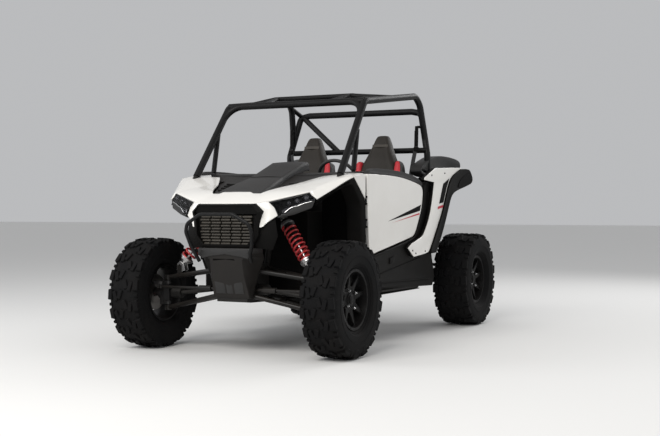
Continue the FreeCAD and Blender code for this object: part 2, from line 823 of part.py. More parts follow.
fascia_stations = (
    (-0.7545, ((-0.4943, 0.5843), (-0.5192, 0.5702))),
    (-0.4121, ((-0.5315, 0.5787), (-0.5735, 0.5404))),
    (-0.2636, ((-0.5385, 0.5725), (-0.5932, 0.532))),
    (0, ((-0.5407, 0.573), (-0.5976, 0.5326))),
    (0.2636, ((-0.5385, 0.5725), (-0.5932, 0.532))),
    (0.4121, ((-0.5315, 0.5787), (-0.5735, 0.5404))),
    (0.7545, ((-0.4943, 0.5843), (-0.5192, 0.5702))),
)
fang_stations = (
    (0.5365, ((0.3121, -0.5906), (0.4061, -0.5739), (0.4061, -0.5643), (0.3121, -0.5818))),
    (0.4961, ((0.3864, -0.5836), (0.4818, -0.5608), (0.4818, -0.5521), (0.3864, -0.5739))),
    (0.4483, ((0.3636, -0.5949), (0.397, -0.5884), (0.397, -0.5818), (0.3636, -0.5884))),
)
fender_stations = (
    (-0.5162, ((0.7576, 0.5742), (0.8258, 0.5461), (0.8136, 0.5427), (0.7424, 0.5685))),
    (-0.4374, ((0.4485, 0.6039), (0.8485, 0.6169), (0.9121, 0.5955), (0.903, 0.5899), (0.8424, 0.6112), (0.4485, 0.5983))),
    (-0.3762, ((0.5485, 0.6225), (0.903, 0.6371), (0.9697, 0.6247), (0.9606, 0.6191), (0.897, 0.6315), (0.5485, 0.6169))),
    (-0.3115, ((0.7121, 0.6348), (0.9242, 0.6438), (0.997, 0.6404), (0.9879, 0.6348), (0.9182, 0.6382), (0.7121, 0.6292))),
)
lamp_stations = (
    (0.4348, ((-0.5687, 0.5382), (-0.5669, 0.5101), (-0.5337, 0.5101), (-0.5337, 0.5382))),
    (0.5227, ((-0.556, 0.5494), (-0.5591, 0.4815), (-0.5249, 0.4815), (-0.5249, 0.5494))),
    (0.6515, ((-0.5359, 0.5607), (-0.5416, 0.4944), (-0.5074, 0.4944), (-0.5074, 0.5607))),
    (0.7758, ((-0.5166, 0.564), (-0.5206, 0.5169), (-0.4899, 0.5169), (-0.4899, 0.564))),
)
lamp_end_share = 0.3
lamp_rim_share = 0.14
lamp_well_share = 0.55
lamp_bowl_radius = 31.0
lamp_bowl_depth = 22.0
lamp_bowl_wall = 4.0
grille_outline_shares = (
    (0.303, 0.5281), (0.3758, 0.4961), (0.3515, 0.4213), (0.2652, 0.377),
)
grille_hole_shares = (
    (0.3515, 0.5017), (0.3242, 0.4775), (0.3121, 0.4225), (0.2424, 0.3899),
)
grille_front_share = -0.6028
grille_depth = 43.0
grille_well_depth = 30.0
grille_slat_count = 10
grille_slat_low_share = 0.3944
grille_slat_pitch = 18.5
grille_slat_height = 7.5
grille_slat_setback = 12.0
nose_stations = (
    (0.3768, ((0.3106, -0.5687), (0.2545, -0.6054))),
    (0.3478, ((0.3424, -0.5687), (0.3197, -0.6019))),
    (0.273, ((0.2545, -0.5599), (0.2379, -0.5766))),
    (0.1978, ((0.203, -0.5582), (0.1879, -0.5687))),
)
arch_half_share = 0.96
arch_path_shares = (
    (-0.5162, 0.5281), (-0.4374, 0.5843), (-0.3806, 0.6146), (-0.3141, 0.618),
    (-0.3088, 0.5539), (-0.308, 0.4494), (-0.3018, 0.3596), (-0.2975, 0.3146),
)
arch_trim_shares = (
    (0.8121, -0.5162), (0.8864, -0.4637), (0.9288, -0.4221), (0.9788, -0.3871),
    (1.1, -0.3871), (1.1, -0.56), (0.8121, -0.56),
)
hinge_shares = (
    (0.9879, -0.308, 0.4607), (0.9879, -0.308, 0.5449),
)
hinge_pin_radius = 5.0
hinge_barrel_radius = 11.0
hinge_barrel_height = 30.0
hinge_lug_height = 12.0
hinge_gap = 1.5
hinge_clearance = 0.5
door_outline_shares = (
    (-0.3045, 0.641), (-0.2187, 0.6421), (-0.1273, 0.6404), (-0.0437, 0.636), (0.0223, 0.6264),
    (0.0875, 0.6135), (0.1137, 0.6), (0.1225, 0.5753), (0.1098, 0.5129), (0.0617, 0.4242),
    (0.0306, 0.4017), (-0.2874, 0.3433), (-0.3023, 0.5545),
)
trim_outline_shares = (
    (-0.3018, 0.6393), (-0.2187, 0.6404), (-0.1273, 0.6388), (-0.0437, 0.6343),
    (0.0223, 0.6247), (0.0875, 0.6118), (0.1102, 0.6017), (0.1146, 0.618), (0.0875, 0.6348),
    (0.0223, 0.6494), (-0.0437, 0.6584), (-0.1273, 0.6629), (-0.2187, 0.664), (-0.28, 0.6618),
)
rocker_outline_shares = (
    (-0.2297, 0.2157), (0.2069, 0.1944), (0.2275, 0.236), (0.1881, 0.3596), (0.2056, 0.427),
    (0.2275, 0.4831), (0.21, 0.5618), (0.1925, 0.6236), (0.1312, 0.6292), (0.1277, 0.5753),
    (0.115, 0.5101), (0.0656, 0.4191), (0.0324, 0.3949), (-0.2874, 0.3371),
)
quarter_outline_shares = (
    (-0.0346, 0.3596), (0.0122, 0.3242), (0.1251, 0.3337), (0.1444, 0.3449), (0.1925, 0.4129),
    (0.2445, 0.4876), (0.269, 0.5326), (0.3018, 0.6039), (0.3364, 0.6517), (0.4068, 0.6809),
    (0.4549, 0.6966), (0.1955, 0.6837), (0.1054, 0.6421), (0.1019, 0.632), (0.1872, 0.6247),
    (0.1684, 0.5393), (0.1422, 0.473), (0.1063, 0.4242), (0.0853, 0.4022), (-0.0022, 0.3775),
)
flare_outline_shares = (
    (0.154, 0.3315), (0.196, 0.3337), (0.2384, 0.3933), (0.2773, 0.4567), (0.3084, 0.5169),
    (0.3364, 0.5713), (0.3797, 0.5933), (0.4768, 0.6135), (0.5604, 0.6354), (0.5271, 0.6888),
    (0.4856, 0.6927), (0.4374, 0.6899), (0.4068, 0.6787), (0.339, 0.6494), (0.3049, 0.6011),
    (0.2721, 0.5303), (0.2476, 0.4854), (0.1955, 0.4107), (0.1474, 0.3427),
)
intake_outline_shares = (
    (0.1444, 0.6787), (0.1925, 0.7112), (0.315, 0.7449), (0.4374, 0.7427), (0.5249, 0.732),
    (0.5402, 0.7107), (0.5162, 0.6463), (0.2712, 0.6463), (0.1837, 0.6573),
)
quarter_top_shares = (
    (0.1881, 0.6775), (0.3893, 0.6966), (0.4506, 0.6921),
    (0.4506, 0.677), (0.3893, 0.682), (0.1881, 0.6618),
)
quarter_reach_share = 1.05
flare_reach_share = 1.06
intake_reach_share = 0.92
bed_share_table = (
    (-0.8182, 0.2625, 0.5225), (0.8182, 0.486, 0.6461),
)
seat_back_stations = (
    (0.8236, 0.0826, 0.1741, 0.1881),
    (0.8146, 0.1087, 0.1636, 0.1951),
    (0.782, 0.1565, 0.1531, 0.1977),
    (0.7433, 0.2196, 0.1409, 0.1925),
    (0.7067, 0.2957, 0.1312, 0.1859),
    (0.677, 0.3478, 0.1269, 0.1785),
    (0.6292, 0.3652, 0.119, 0.1706),
    (0.4719, 0.3565, 0.0941, 0.1444),
    (0.3876, 0.3261, 0.0831, 0.1269),
)
seat_wing_stations = (
    (0.709, 0.3261, 0.3826, 0.1146, 0.1461),
    (0.6966, 0.3043, 0.4174, 0.1067, 0.1662),
    (0.5955, 0.3, 0.4652, 0.0875, 0.1601),
    (0.4438, 0.3, 0.4565, 0.0656, 0.1382),
    (0.3961, 0.3043, 0.4261, 0.0722, 0.1269),
)
seat_base_stations = (
    (-0.1015, 0.3261, 0.3596, 0.3876),
    (-0.0919, 0.413, 0.3371, 0.4067),
    (0, 0.4348, 0.318, 0.4101),
    (0.0897, 0.4, 0.3202, 0.3933),
)
seat_centre_share = 0.4364
seat_bottom_share = 0.318
seat_belly_share = 0.3


def raised_hood():
    top = skin(cross_sections(hood_stations), V(0, 0, -panel_thickness))
    scoop = block(cross_sections(scoop_stations))
    return fused([top, scoop])


def wheel_arch_hinges():
    """Lugs and pins on which one door swings."""
    pieces = []
    for spot in places(hinge_shares):
        pin_low = spot - V(0, 0, hinge_barrel_height / 2 + hinge_gap + hinge_lug_height)
        pin_length = hinge_barrel_height + hinge_gap * 2 + hinge_lug_height * 2
        pieces.append(Part.makeCylinder(hinge_pin_radius, pin_length, pin_low))
        for base in (pin_low, pin_low + V(0, 0, pin_length - hinge_lug_height)):
            pieces.append(Part.makeCylinder(hinge_barrel_radius, hinge_lug_height, base))
            wall = V(spot.x - overrun * 1.5, spot.y - hinge_pin_radius, base.z)
            pieces.append(box(wall, V(spot.x, spot.y + hinge_pin_radius, base.z + hinge_lug_height)))
    return pieces


def door_hinges():
    """Barrels with their ears on the front edge of one door."""
    pieces = []
    bores = []
    for spot in places(hinge_shares):
        base = spot - V(0, 0, hinge_barrel_height / 2)
        pieces.append(Part.makeCylinder(hinge_barrel_radius, hinge_barrel_height, base))
        ear_low = V(half_body - hinge_barrel_radius, spot.y, base.z)
        pieces.append(box(ear_low, V(half_body, spot.y + hinge_barrel_radius * 4, base.z + hinge_barrel_height)))
        bores.append(Part.makeCylinder(hinge_pin_radius + hinge_clearance, hinge_barrel_height, base))
    return pieces, fused(bores)


def front_fascia():
    band = skin(lengthwise_sections(fascia_stations), V(0, panel_thickness, -panel_thickness))
    fang = block(level_sections(fang_stations))
    return fused([band, fang, mirrored(fang)])


def front_fenders():
    stations = cross_sections(fender_stations)
    first = stations[0]
    doubled = [first[0], (first[0] + first[1]) * 0.5, first[1], first[2], (first[2] + first[3]) * 0.5, first[3]]
    return block([doubled] + stations[1:])


def headlights():
    """A housing open to the front, with two round reflectors in its well."""
    sections = lengthwise_sections(lamp_stations)
    first = [a + (b - a) * lamp_end_share for a, b in zip(sections[0], sections[1])]
    last = [a + (b - a) * lamp_end_share for a, b in zip(sections[3], sections[2])]
    well = []
    bowls = []
    for top, bottom, back_bottom, back_top in (first, sections[1], sections[2], last):
        rim = (bottom - top) * lamp_rim_share
        ahead = V(0, overrun, 0)
        deep_bottom = bottom - rim + (back_bottom - bottom) * lamp_well_share
        deep_top = top + rim + (back_top - top) * lamp_well_share
        well.append([top + rim - ahead, bottom - rim - ahead, deep_bottom, deep_top])
        bowls.append((deep_bottom + deep_top) * 0.5)
    pieces = [block(sections).cut(block(well))]
    for middle in bowls[1:3]:
        start = middle - V(0, lamp_bowl_depth, 0)
        ring = Part.makeCylinder(lamp_bowl_radius, lamp_bowl_depth + overrun / 2, start, V(0, 1, 0))
        hollow = Part.makeCylinder(lamp_bowl_radius - lamp_bowl_wall, lamp_bowl_depth, start, V(0, 1, 0))
        pieces.append(ring.cut(hollow))
    return fused(pieces)


def grille():
    """A framed well crossed by level slats."""
    front_y = grille_front_share * wheelbase
    faces = []
    for shares in (grille_outline_shares, grille_hole_shares):
        half = [place(x, 0, z) for x, z in shares]
        outline = [V(p.x, front_y, p.z) for p in half + opposite(half[::-1])]
        faces.append(polygon_face(outline))
    well = faces[1].extrude(V(0, grille_well_depth, 0))
    for number in range(grille_slat_count):
        base_z = grille_slat_low_share * cage_height + grille_slat_pitch * number
        slat = box(V(-half_body, front_y + grille_slat_setback, base_z),
                   V(half_body, front_y + grille_depth, base_z + grille_slat_height))
        well = well.cut(slat)
    return faces[0].extrude(V(0, grille_depth, 0)).cut(well)


def nose_plate():
    sections = []
    for half in level_sections(nose_stations):
        sections.append(half + opposite(half[::-1]))
    return skin(sections, V(0, panel_thickness, 0))


def wheel_arches():
    path = [V(0, y * wheelbase, z * cage_height) for y, z in arch_path_shares]
    outer_x = half_body * arch_half_share
    inner_x = tub_half_share * half_body * footwell_share + seat_gap
    wall = panel_thickness * 0.6
    back = [p + V(0, wall, wall) for p in reversed(path)]
    face = polygon_face([p + V(inner_x, 0, 0) for p in path + back])
    corner = polygon_face([place(x, y, 0) for x, y in arch_trim_shares])
    liner = face.extrude(V(outer_x - inner_x, 0, 0)).cut(corner.extrude(V(0, 0, cage_height)))
    return fused([liner] + wheel_arch_hinges())


def front_bumper():
    half = places(bumper_shares)
    loop = half + opposite(half[::-1])
    return tube(loop, bumper_tube_radius, bumper_bend)


bumper_shares = (
    (0.2879, -0.601, 0.3303), (0.2985, -0.6159, 0.3551), (0.3364, -0.6234, 0.3876),
    (0.3591, -0.6365, 0.4326), (0.3364, -0.6409, 0.4618), (0.1773, -0.6474, 0.4944),
)


def cargo_bed():
    low, high = places(bed_share_table)
    outer = box(low, high)
    inner = box(low + V(bed_wall, bed_wall, bed_wall), high - V(bed_wall, bed_wall, -overrun))
    bed = outer.cut(inner)
    middle_y = (low.y + high.y) / 2
    for x in (-bed_bolt_spacing_x / 2, bed_bolt_spacing_x / 2):
        for y in (middle_y - bed_bolt_spacing_y / 2, middle_y + bed_bolt_spacing_y / 2):
            hole = Part.makeCylinder(bed_hole_radius, bed_wall + overrun * 2, V(x, y, low.z - overrun))
            bed = bed.cut(hole)
    return bed


# Engine, exhaust and tail lamps

engine_front_share = 0.2
engine_case_share = 0.56
engine_head_share = 0.3
engine_head_half = 165.0
engine_cover_depth = 60.0
cam_cover_radius = 40.0
side_cover_shares = (
    (1, 0.3, 0.32, 112.0), (1, 0.72, 0.36, 124.0), (-1, 0.5, 0.28, 96.0),
)
silencer_share = (0.58, 0.42)
pipe_reach_share = 0.72
tail_light_share = (0.7, 0, 0.59)
tail_light_width = 72.0
tail_light_depth = 24.0
tail_light_height = 48.0


def engine_front():
    return V(-engine_width / 2, engine_front_share * wheelbase, rail_height + frame_tube_radius + seat_gap)


def engine_block():
    """Crankcase, cylinder block with its round cam covers, side covers and the gearbox."""
    front = engine_front()
    back_y = front.y + engine_length
    top_z = front.z + engine_height
    case_half = engine_width / 2 - engine_cover_depth
    case_top = front.z + engine_height * engine_case_share
    head_top = top_z - cam_cover_radius
    head_front = front.y + engine_length * engine_head_share
    pieces = [box(V(-case_half, front.y, front.z), V(case_half, back_y, case_top)),
              box(V(-engine_head_half, head_front, case_top - overrun), V(engine_head_half, back_y, head_top))]
    cam_y = (head_front + back_y) / 2
    for side in (-1, 1):
        start = V(-engine_head_half, cam_y + side * cam_cover_radius, head_top)
        pieces.append(Part.makeCylinder(cam_cover_radius, engine_head_half * 2, start, V(1, 0, 0)))
    for side, y_share, z_share, radius in side_cover_shares:
        start = V(case_half - overrun, front.y + engine_length * y_share, front.z + engine_height * z_share)
        cover = Part.makeCylinder(radius, engine_cover_depth + overrun, start, V(1, 0, 0))
        pieces.append(cover if side > 0 else mirrored(cover))
    gearbox_front = V(-gearbox_width / 2, back_y, rail_height - frame_tube_radius)
    pieces.append(box(gearbox_front, gearbox_front + V(gearbox_width, gearbox_length, gearbox_height)))
    return fused(pieces)


def silencer():
    start = V(-silencer_length / 2, silencer_share[0] * wheelbase, silencer_share[1] * cage_height)
    can = Part.makeCylinder(silencer_radius, silencer_length, start, V(1, 0, 0))
    engine_back = engine_front().y + engine_length + seat_gap
    pipe_x = engine_head_half * pipe_reach_share
    pipe = rod(V(pipe_x, engine_back, start.z), V(pipe_x, start.y, start.z), exhaust_pipe_radius)
    return fused([can, pipe])


def tail_lights():
    low = place(*tail_light_share)
    low.y = places(bed_share_table)[1].y + seat_gap
    return box(low, low + V(tail_light_width, tail_light_depth, tail_light_height))


def seat_ring(centre, near, far, front, back, z):
    """A level six-sided section of a seat part, blunt toward the front."""
    belly = front + (back - front) * seat_belly_share
    heel = near + (far - near) * (1 - seat_belly_share)
    return [V(centre + near, front, z), V(centre + heel, front, z), V(centre + far, belly, z),
            V(centre + far, back - (belly - front), z), V(centre + heel, back, z), V(centre + near, back, z)]


def seat():
    """A high-backed bucket: a tapered back, two wings beside it and the cushion."""
    centre = seat_centre_share * half_body
    back = []
    wing = []
    for z, half, front, rear in seat_back_stations:
        right = seat_ring(centre, 0, half * seat_width, front * wheelbase, rear * wheelbase, z * cage_height)
        left = [V(2 * centre - p.x, p.y, p.z) for p in right[1:-1]]
        back.append(right[1:-1] + left[::-1])
    for z, near, far, front, rear in seat_wing_stations:
        wing.append(seat_ring(centre, near * seat_width, far * seat_width, front * wheelbase,
                              rear * wheelbase, z * cage_height))
    other = [[V(2 * centre - p.x, p.y, p.z) for p in section] for section in wing]
    base = []
    for y, half, low, high in seat_base_stations:
        reach = half * seat_width
        spot = y * wheelbase
        base.append([V(centre - reach, spot, low * cage_height), V(centre + reach, spot, low * cage_height),
                     V(centre + reach, spot, high * cage_height), V(centre - reach, spot, high * cage_height)])
    return fused([block(back), block(wing), block(other), block(base)])


def doors():
    panel = side_plate(door_outline_shares, half_body, door_thickness)
    ears, bores = door_hinges()
    trim = side_plate(trim_outline_shares, half_body, trim_thickness)
    return fused([panel] + ears).cut(bores), trim.cut(panel)


def side_panels():
    quarter_x = half_body * quarter_reach_share
    intake_x = half_body * intake_reach_share
    rocker = side_plate(rocker_outline_shares, quarter_x - quarter_thickness - seat_gap, rocker_thickness)
    quarter = side_plate(quarter_outline_shares, quarter_x, quarter_thickness)
    quarter_top = side_plate(quarter_top_shares, quarter_x, quarter_x - intake_x - seat_gap)
    quarter = fused([quarter, quarter_top])
    flare = side_plate(flare_outline_shares, half_body * flare_reach_share, flare_thickness).cut(quarter)
    intake = side_plate(intake_outline_shares, intake_x, flare_thickness * 1.5)
    return rocker.cut(flare), quarter, flare, intake


def build():
    nodes = dict(wheel_pieces())
    lower, upper = front_arms()
    rear = rear_arms()
    dampers, springs = dampers_and_springs()
    rocker, quarter, flare, intake = side_panels()
    door, trim = doors()
    left_knuckle = knuckle()
    front_cage = cage_front()
    rear_cage = cage_rear()
    cage_envelope = fused(cage_rear_tubes(tube_clearance))
    frame_envelope = fused(frame_tubes(tube_clearance))
    fascia = front_fascia()
    fenders = both_sides(front_fenders()).cut(fascia).cut(frame_envelope).cut(front_cage)
    hood = raised_hood().cut(fascia).cut(fenders).cut(frame_envelope).cut(front_cage)
    lamps = both_sides(headlights()).cut(fascia).cut(fenders)
    lamp_envelope = both_sides(block(lengthwise_sections(lamp_stations)))
    arches = both_sides(wheel_arches()).cut(fenders).cut(lamp_envelope).cut(frame_envelope)
    nose = nose_plate()
    nodes["chassis_frame"] = chassis_frame()
    nodes["skid_plate"] = skid_plate()
    nodes["floor_tub"] = floor_tub()
    nodes["roll_cage_front"] = front_cage
    nodes["roll_cage_rear"] = rear_cage
    nodes["front_bumper"] = front_bumper().cut(nose)
    nodes["nose_plate"] = nose
    nodes["grille"] = grille().cut(fascia)
    nodes["front_fascia"] = fascia
    nodes["front_fenders"] = fenders
    nodes["hood_panel"] = hood
    nodes["headlights"] = lamps
    nodes["wheel_arches"] = arches
    nodes["dashboard"] = dashboard().cut(arches).cut(hood)
    nodes["seat_left"] = seat()
    nodes["seat_right"] = mirrored(seat())
    nodes["rockers"] = both_sides(rocker)
    nodes["rear_quarters"] = both_sides(quarter).cut(cage_envelope)
    nodes["rear_flares"] = both_sides(flare)
    nodes["shoulder_intakes"] = both_sides(intake).cut(cage_envelope)
    nodes["cargo_bed"] = cargo_bed()
    nodes["engine_block"] = engine_block()
    nodes["exhaust"] = silencer()
    nodes["tail_lights"] = both_sides(tail_lights())
    nodes["front_arms"] = Part.makeCompound([both_sides(lower), both_sides(upper)])
    nodes["rear_arms"] = both_sides(rear)
    nodes["coil_springs"] = springs
    nodes["dampers"] = dampers
    nodes["half_shafts"] = half_shafts()
    nodes["steering_wheel"] = steering_wheel()
    nodes["tie_rods"] = tie_rods()
    nodes["knuckle_left"] = left_knuckle
    nodes["knuckle_right"] = mirrored(left_knuckle)
    nodes["door_panel_left"] = door
    nodes["door_panel_right"] = mirrored(door)
    nodes["door_trim_left"] = trim
    nodes["door_trim_right"] = mirrored(trim)
    return nodes


def export(nodes):
    os.makedirs("parts", exist_ok=True)
    for name, shape in nodes.items():
        shape.exportStep("parts/" + name + ".step")
        print(name, shape.isValid(), len(shape.Solids), round(shape.Volume / 1e6, 2))


export(build())
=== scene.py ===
import math

import bmesh
import bpy
from mathutils import Matrix, Vector


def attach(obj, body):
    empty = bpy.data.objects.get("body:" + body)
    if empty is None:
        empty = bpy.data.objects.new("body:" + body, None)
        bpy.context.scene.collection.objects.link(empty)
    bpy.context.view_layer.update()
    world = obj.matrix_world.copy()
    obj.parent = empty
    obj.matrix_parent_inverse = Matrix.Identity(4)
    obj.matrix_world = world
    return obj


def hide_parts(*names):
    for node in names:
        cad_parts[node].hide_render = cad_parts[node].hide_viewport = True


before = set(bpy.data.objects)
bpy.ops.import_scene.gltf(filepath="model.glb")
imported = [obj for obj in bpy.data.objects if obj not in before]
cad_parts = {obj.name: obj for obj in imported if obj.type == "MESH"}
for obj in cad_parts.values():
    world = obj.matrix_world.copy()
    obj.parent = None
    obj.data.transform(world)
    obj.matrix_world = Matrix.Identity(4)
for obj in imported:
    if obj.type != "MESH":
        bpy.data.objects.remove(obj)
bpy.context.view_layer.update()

studio = {
    "cameraPlace": (3.641, -7.223, 0.905),
    "cameraTarget": (0.042, 0.0, 0.849),
    "lens": 60.33,
    "sensorWidth": 36,
    "lamps": (                   # name, place, target, size, power and colour
        ("keyLamp", (0.2, -6.6, 5.4), (0, 0, 0.6), (4.5, 3.0), 380, (1.0, 0.98, 0.95)),
        ("fillLamp", (-5.5, -4.0, 3.2), (0, 0, 0.7), (4.0, 3.0), 120, (0.95, 0.97, 1.0)),
        ("backLamp", (2.5, 6.0, 4.5), (0, 0, 0.9), (4.0, 2.5), 140, (1, 1, 1)),
        ("sideLamp", (6.5, 0.5, 2.6), (0, 0, 0.8), (3.0, 2.5), 50, (1, 1, 1)),
    ),
    "floorSize": 60,
    "floorRough": 0.7,
    "floorColour": (0.78, 0.775, 0.76, 1),
    "worldColour": (0.90, 0.91, 0.93, 1),
    "worldStrength": 0.55,
}


def aimAt(thing, target):
    direction = Vector(target) - thing.location
    thing.rotation_euler = direction.to_track_quat("-Z", "Y").to_euler()


def makeCamera():
    data = bpy.data.cameras.new("camera")
    data.lens = studio["lens"]
    data.sensor_width = studio["sensorWidth"]
    camera = bpy.data.objects.new("camera", data)
    bpy.context.scene.collection.objects.link(camera)
    camera.location = studio["cameraPlace"]
    aimAt(camera, studio["cameraTarget"])
    bpy.context.scene.camera = camera


def makeLamp(name, place, target, size, power, colour):
    data = bpy.data.lights.new(name, "AREA")
    data.shape = "RECTANGLE"
    data.size, data.size_y = size
    data.energy = power
    data.color = colour
    lamp = bpy.data.objects.new(name, data)
    bpy.context.scene.collection.objects.link(lamp)
    lamp.location = place
    aimAt(lamp, target)


def makeStudio():
    makeCamera()
    for lamp in studio["lamps"]:
        makeLamp(*lamp)
    world = bpy.data.worlds.new("studioWorld")
    bpy.context.scene.world = world
    world.use_nodes = True
    background = world.node_tree.nodes["Background"]
    background.inputs["Color"].default_value = studio["worldColour"]
    background.inputs["Strength"].default_value = studio["worldStrength"]
    bm = bmesh.new()
    bmesh.ops.create_grid(bm, x_segments=1, y_segments=1, size=studio["floorSize"])
    mesh = bpy.data.meshes.new("floor")
    bm.to_mesh(mesh)
    bm.free()
    floor = bpy.data.objects.new("floor", mesh)
    bpy.context.scene.collection.objects.link(floor)
    material = bpy.data.materials.new("paleFloor")
    material.use_nodes = True
    shader = material.node_tree.nodes["Principled BSDF"]
    shader.inputs["Base Color"].default_value = studio["floorColour"]
    shader.inputs["Roughness"].default_value = studio["floorRough"]
    mesh.materials.append(material)
    bpy.context.scene.view_settings.view_transform = "Standard"


makeStudio()
print("camera, lamps and floor")


def addNode(tree, kind, inputs=None, **values):
    node = tree.nodes.new(kind)
    for key, value in values.items():
        setattr(node, key, value)
    for key, value in (inputs or {}).items():
        node.inputs[key].default_value = value
    return node


def wire(tree, links):
    for source, output, target, entry in links:
        tree.links.new(source.outputs[output], target.inputs[entry])


def newGroup(name, takes, gives):
    group = bpy.data.node_groups.new(name, "ShaderNodeTree")
    for label, kind, value in takes:
        socket = group.interface.new_socket(label, in_out="INPUT", socket_type=kind)
        socket.default_value = value
    for label, kind in gives:
        group.interface.new_socket(label, in_out="OUTPUT", socket_type=kind)
    start = group.nodes.new("NodeGroupInput")
    end = group.nodes.new("NodeGroupOutput")
    place = group.nodes.new("ShaderNodeTexCoord")
    return group, start, end, place


bumpHeight = 0.0006              # how far grain and weave rise at full depth


# fine moulded pebble: cells, broken up by a softer noise
def buildGrain():
    group, start, end, place = newGroup(
        "mouldGrain",
        [("Scale", "NodeSocketFloat", 900.0), ("Depth", "NodeSocketFloat", 0.2)],
        [("Normal", "NodeSocketVector")],
    )
    cells = addNode(group, "ShaderNodeTexVoronoi", {"Randomness": 0.9})
    soft = addNode(group, "ShaderNodeTexNoise", {"Detail": 3.0, "Roughness": 0.6})
    blend = addNode(group, "ShaderNodeMath", {1: 0.7}, operation="MULTIPLY_ADD")
    bump = addNode(group, "ShaderNodeBump", {"Distance": bumpHeight})
    wire(group, (
        (place, "Object", cells, "Vector"), (place, "Object", soft, "Vector"),
        (start, "Scale", cells, "Scale"), (start, "Scale", soft, "Scale"), (cells, "Distance", blend, 0),
        (soft, "Fac", blend, 2), (blend, 0, bump, "Height"), (start, "Depth", bump, "Strength"),
        (bump, "Normal", end, "Normal"),
    ))
    return group


# fine sand that lies on faces looking up and in patches elsewhere
def buildDust():
    group, start, end, place = newGroup(
        "sandDust",
        [
            ("Base", "NodeSocketColor", (0.5, 0.5, 0.5, 1)),
            ("Dust", "NodeSocketColor", (0.33, 0.24, 0.17, 1)),
            ("Amount", "NodeSocketFloat", 0.2),
            ("Lift", "NodeSocketFloat", 0.3),
            ("Patch Scale", "NodeSocketFloat", 6.0),
        ],
        [("Color", "NodeSocketColor"), ("Mask", "NodeSocketFloat")],
    )
    facing = addNode(group, "ShaderNodeSeparateXYZ")
    upward = addNode(group, "ShaderNodeMapRange", {"From Min": 0.1, "From Max": 1.0})
    wide = addNode(group, "ShaderNodeTexNoise", {"Detail": 6.0, "Roughness": 0.65})
    patch = addNode(group, "ShaderNodeMapRange", {"From Min": 0.42, "From Max": 0.75})
    low = addNode(group, "ShaderNodeSeparateXYZ")
    lowness = addNode(group, "ShaderNodeMapRange", {"From Min": 0.9, "From Max": 0.1})
    tops = addNode(group, "ShaderNodeMath", operation="MULTIPLY")
    lows = addNode(group, "ShaderNodeMath", {1: 0.5}, operation="MULTIPLY_ADD")
    gather = addNode(group, "ShaderNodeMath", operation="MULTIPLY_ADD", use_clamp=True)
    mix = addNode(group, "ShaderNodeMix", data_type="RGBA")
    wire(group, (
        (place, "Normal", facing, 0), (place, "Object", wide, "Vector"), (place, "Object", low, 0),
        (start, "Patch Scale", wide, "Scale"), (facing, "Z", upward, "Value"),
        (wide, "Fac", patch, "Value"), (low, "Z", lowness, "Value"), (upward, 0, tops, 0),
        (start, "Lift", tops, 1), (lowness, 0, lows, 0), (patch, 0, lows, 2), (lows, 0, gather, 0),
        (start, "Amount", gather, 1), (tops, 0, gather, 2), (start, "Base", mix, "A"),
        (start, "Dust", mix, "B"), (gather, 0, mix, "Factor"), (mix, "Result", end, "Color"),
        (gather, 0, end, "Mask"),
    ))
    return group


# slow change of tone, for paint and castings
def buildMottle():
    group, start, end, place = newGroup(
        "toneMottle",
        [
            ("Light", "NodeSocketColor", (0.8, 0.8, 0.8, 1)),
            ("Dark", "NodeSocketColor", (0.7, 0.7, 0.7, 1)),
            ("Scale", "NodeSocketFloat", 5.0),
            ("Rough Low", "NodeSocketFloat", 0.3),
            ("Rough High", "NodeSocketFloat", 0.4),
        ],
        [("Color", "NodeSocketColor"), ("Rough", "NodeSocketFloat")],
    )
    noise = addNode(group, "ShaderNodeTexNoise", {"Detail": 5.0, "Roughness": 0.6})
    mix = addNode(group, "ShaderNodeMix", data_type="RGBA")
    rough = addNode(group, "ShaderNodeMapRange")
    wire(group, (
        (place, "Object", noise, "Vector"), (start, "Scale", noise, "Scale"),
        (noise, "Fac", mix, "Factor"), (start, "Light", mix, "A"), (start, "Dark", mix, "B"),
        (noise, "Fac", rough, "Value"), (start, "Rough Low", rough, "To Min"),
        (start, "Rough High", rough, "To Max"), (mix, "Result", end, "Color"), (rough, 0, end, "Rough"),
    ))
    return group


# woven cloth from two crossed waves
def buildWeave():
    group, start, end, place = newGroup(
        "clothWeave",
        [("Scale", "NodeSocketFloat", 260.0), ("Depth", "NodeSocketFloat", 0.3)],
        [("Normal", "NodeSocketVector")],
    )
    across = addNode(group, "ShaderNodeTexWave", bands_direction="Y", wave_profile="SIN")
    along = addNode(group, "ShaderNodeTexWave", bands_direction="Z", wave_profile="SIN")
    blend = addNode(group, "ShaderNodeMath", operation="MULTIPLY")
    bump = addNode(group, "ShaderNodeBump", {"Distance": bumpHeight})
    wire(group, (
        (place, "Object", across, "Vector"), (start, "Scale", across, "Scale"),
        (place, "Object", along, "Vector"), (start, "Scale", along, "Scale"), (across, "Fac", blend, 0),
        (along, "Fac", blend, 1), (blend, 0, bump, "Height"), (start, "Depth", bump, "Strength"),
        (bump, "Normal", end, "Normal"),
    ))
    return group


groups = {"grain": buildGrain(), "dust": buildDust(), "mottle": buildMottle(), "weave": buildWeave()}


def useGroup(tree, name, inputs):
    node = tree.nodes.new("ShaderNodeGroup")
    node.node_tree = groups[name]
    for key, value in inputs.items():
        node.inputs[key].default_value = value
    return node


def rgba(colour):
    return (colour[0], colour[1], colour[2], 1)


finishes = {}
finishSettings = {"tone": 4.0, "dulling": 0.4}       # scale of the mottle, and how much dust roughens
sockets = {"specular": "Specular IOR Level", "metallic": "Metallic", "coat": "Coat Weight",
           "coatRough": "Coat Roughness", "clear": "Transmission Weight", "bend": "IOR"}


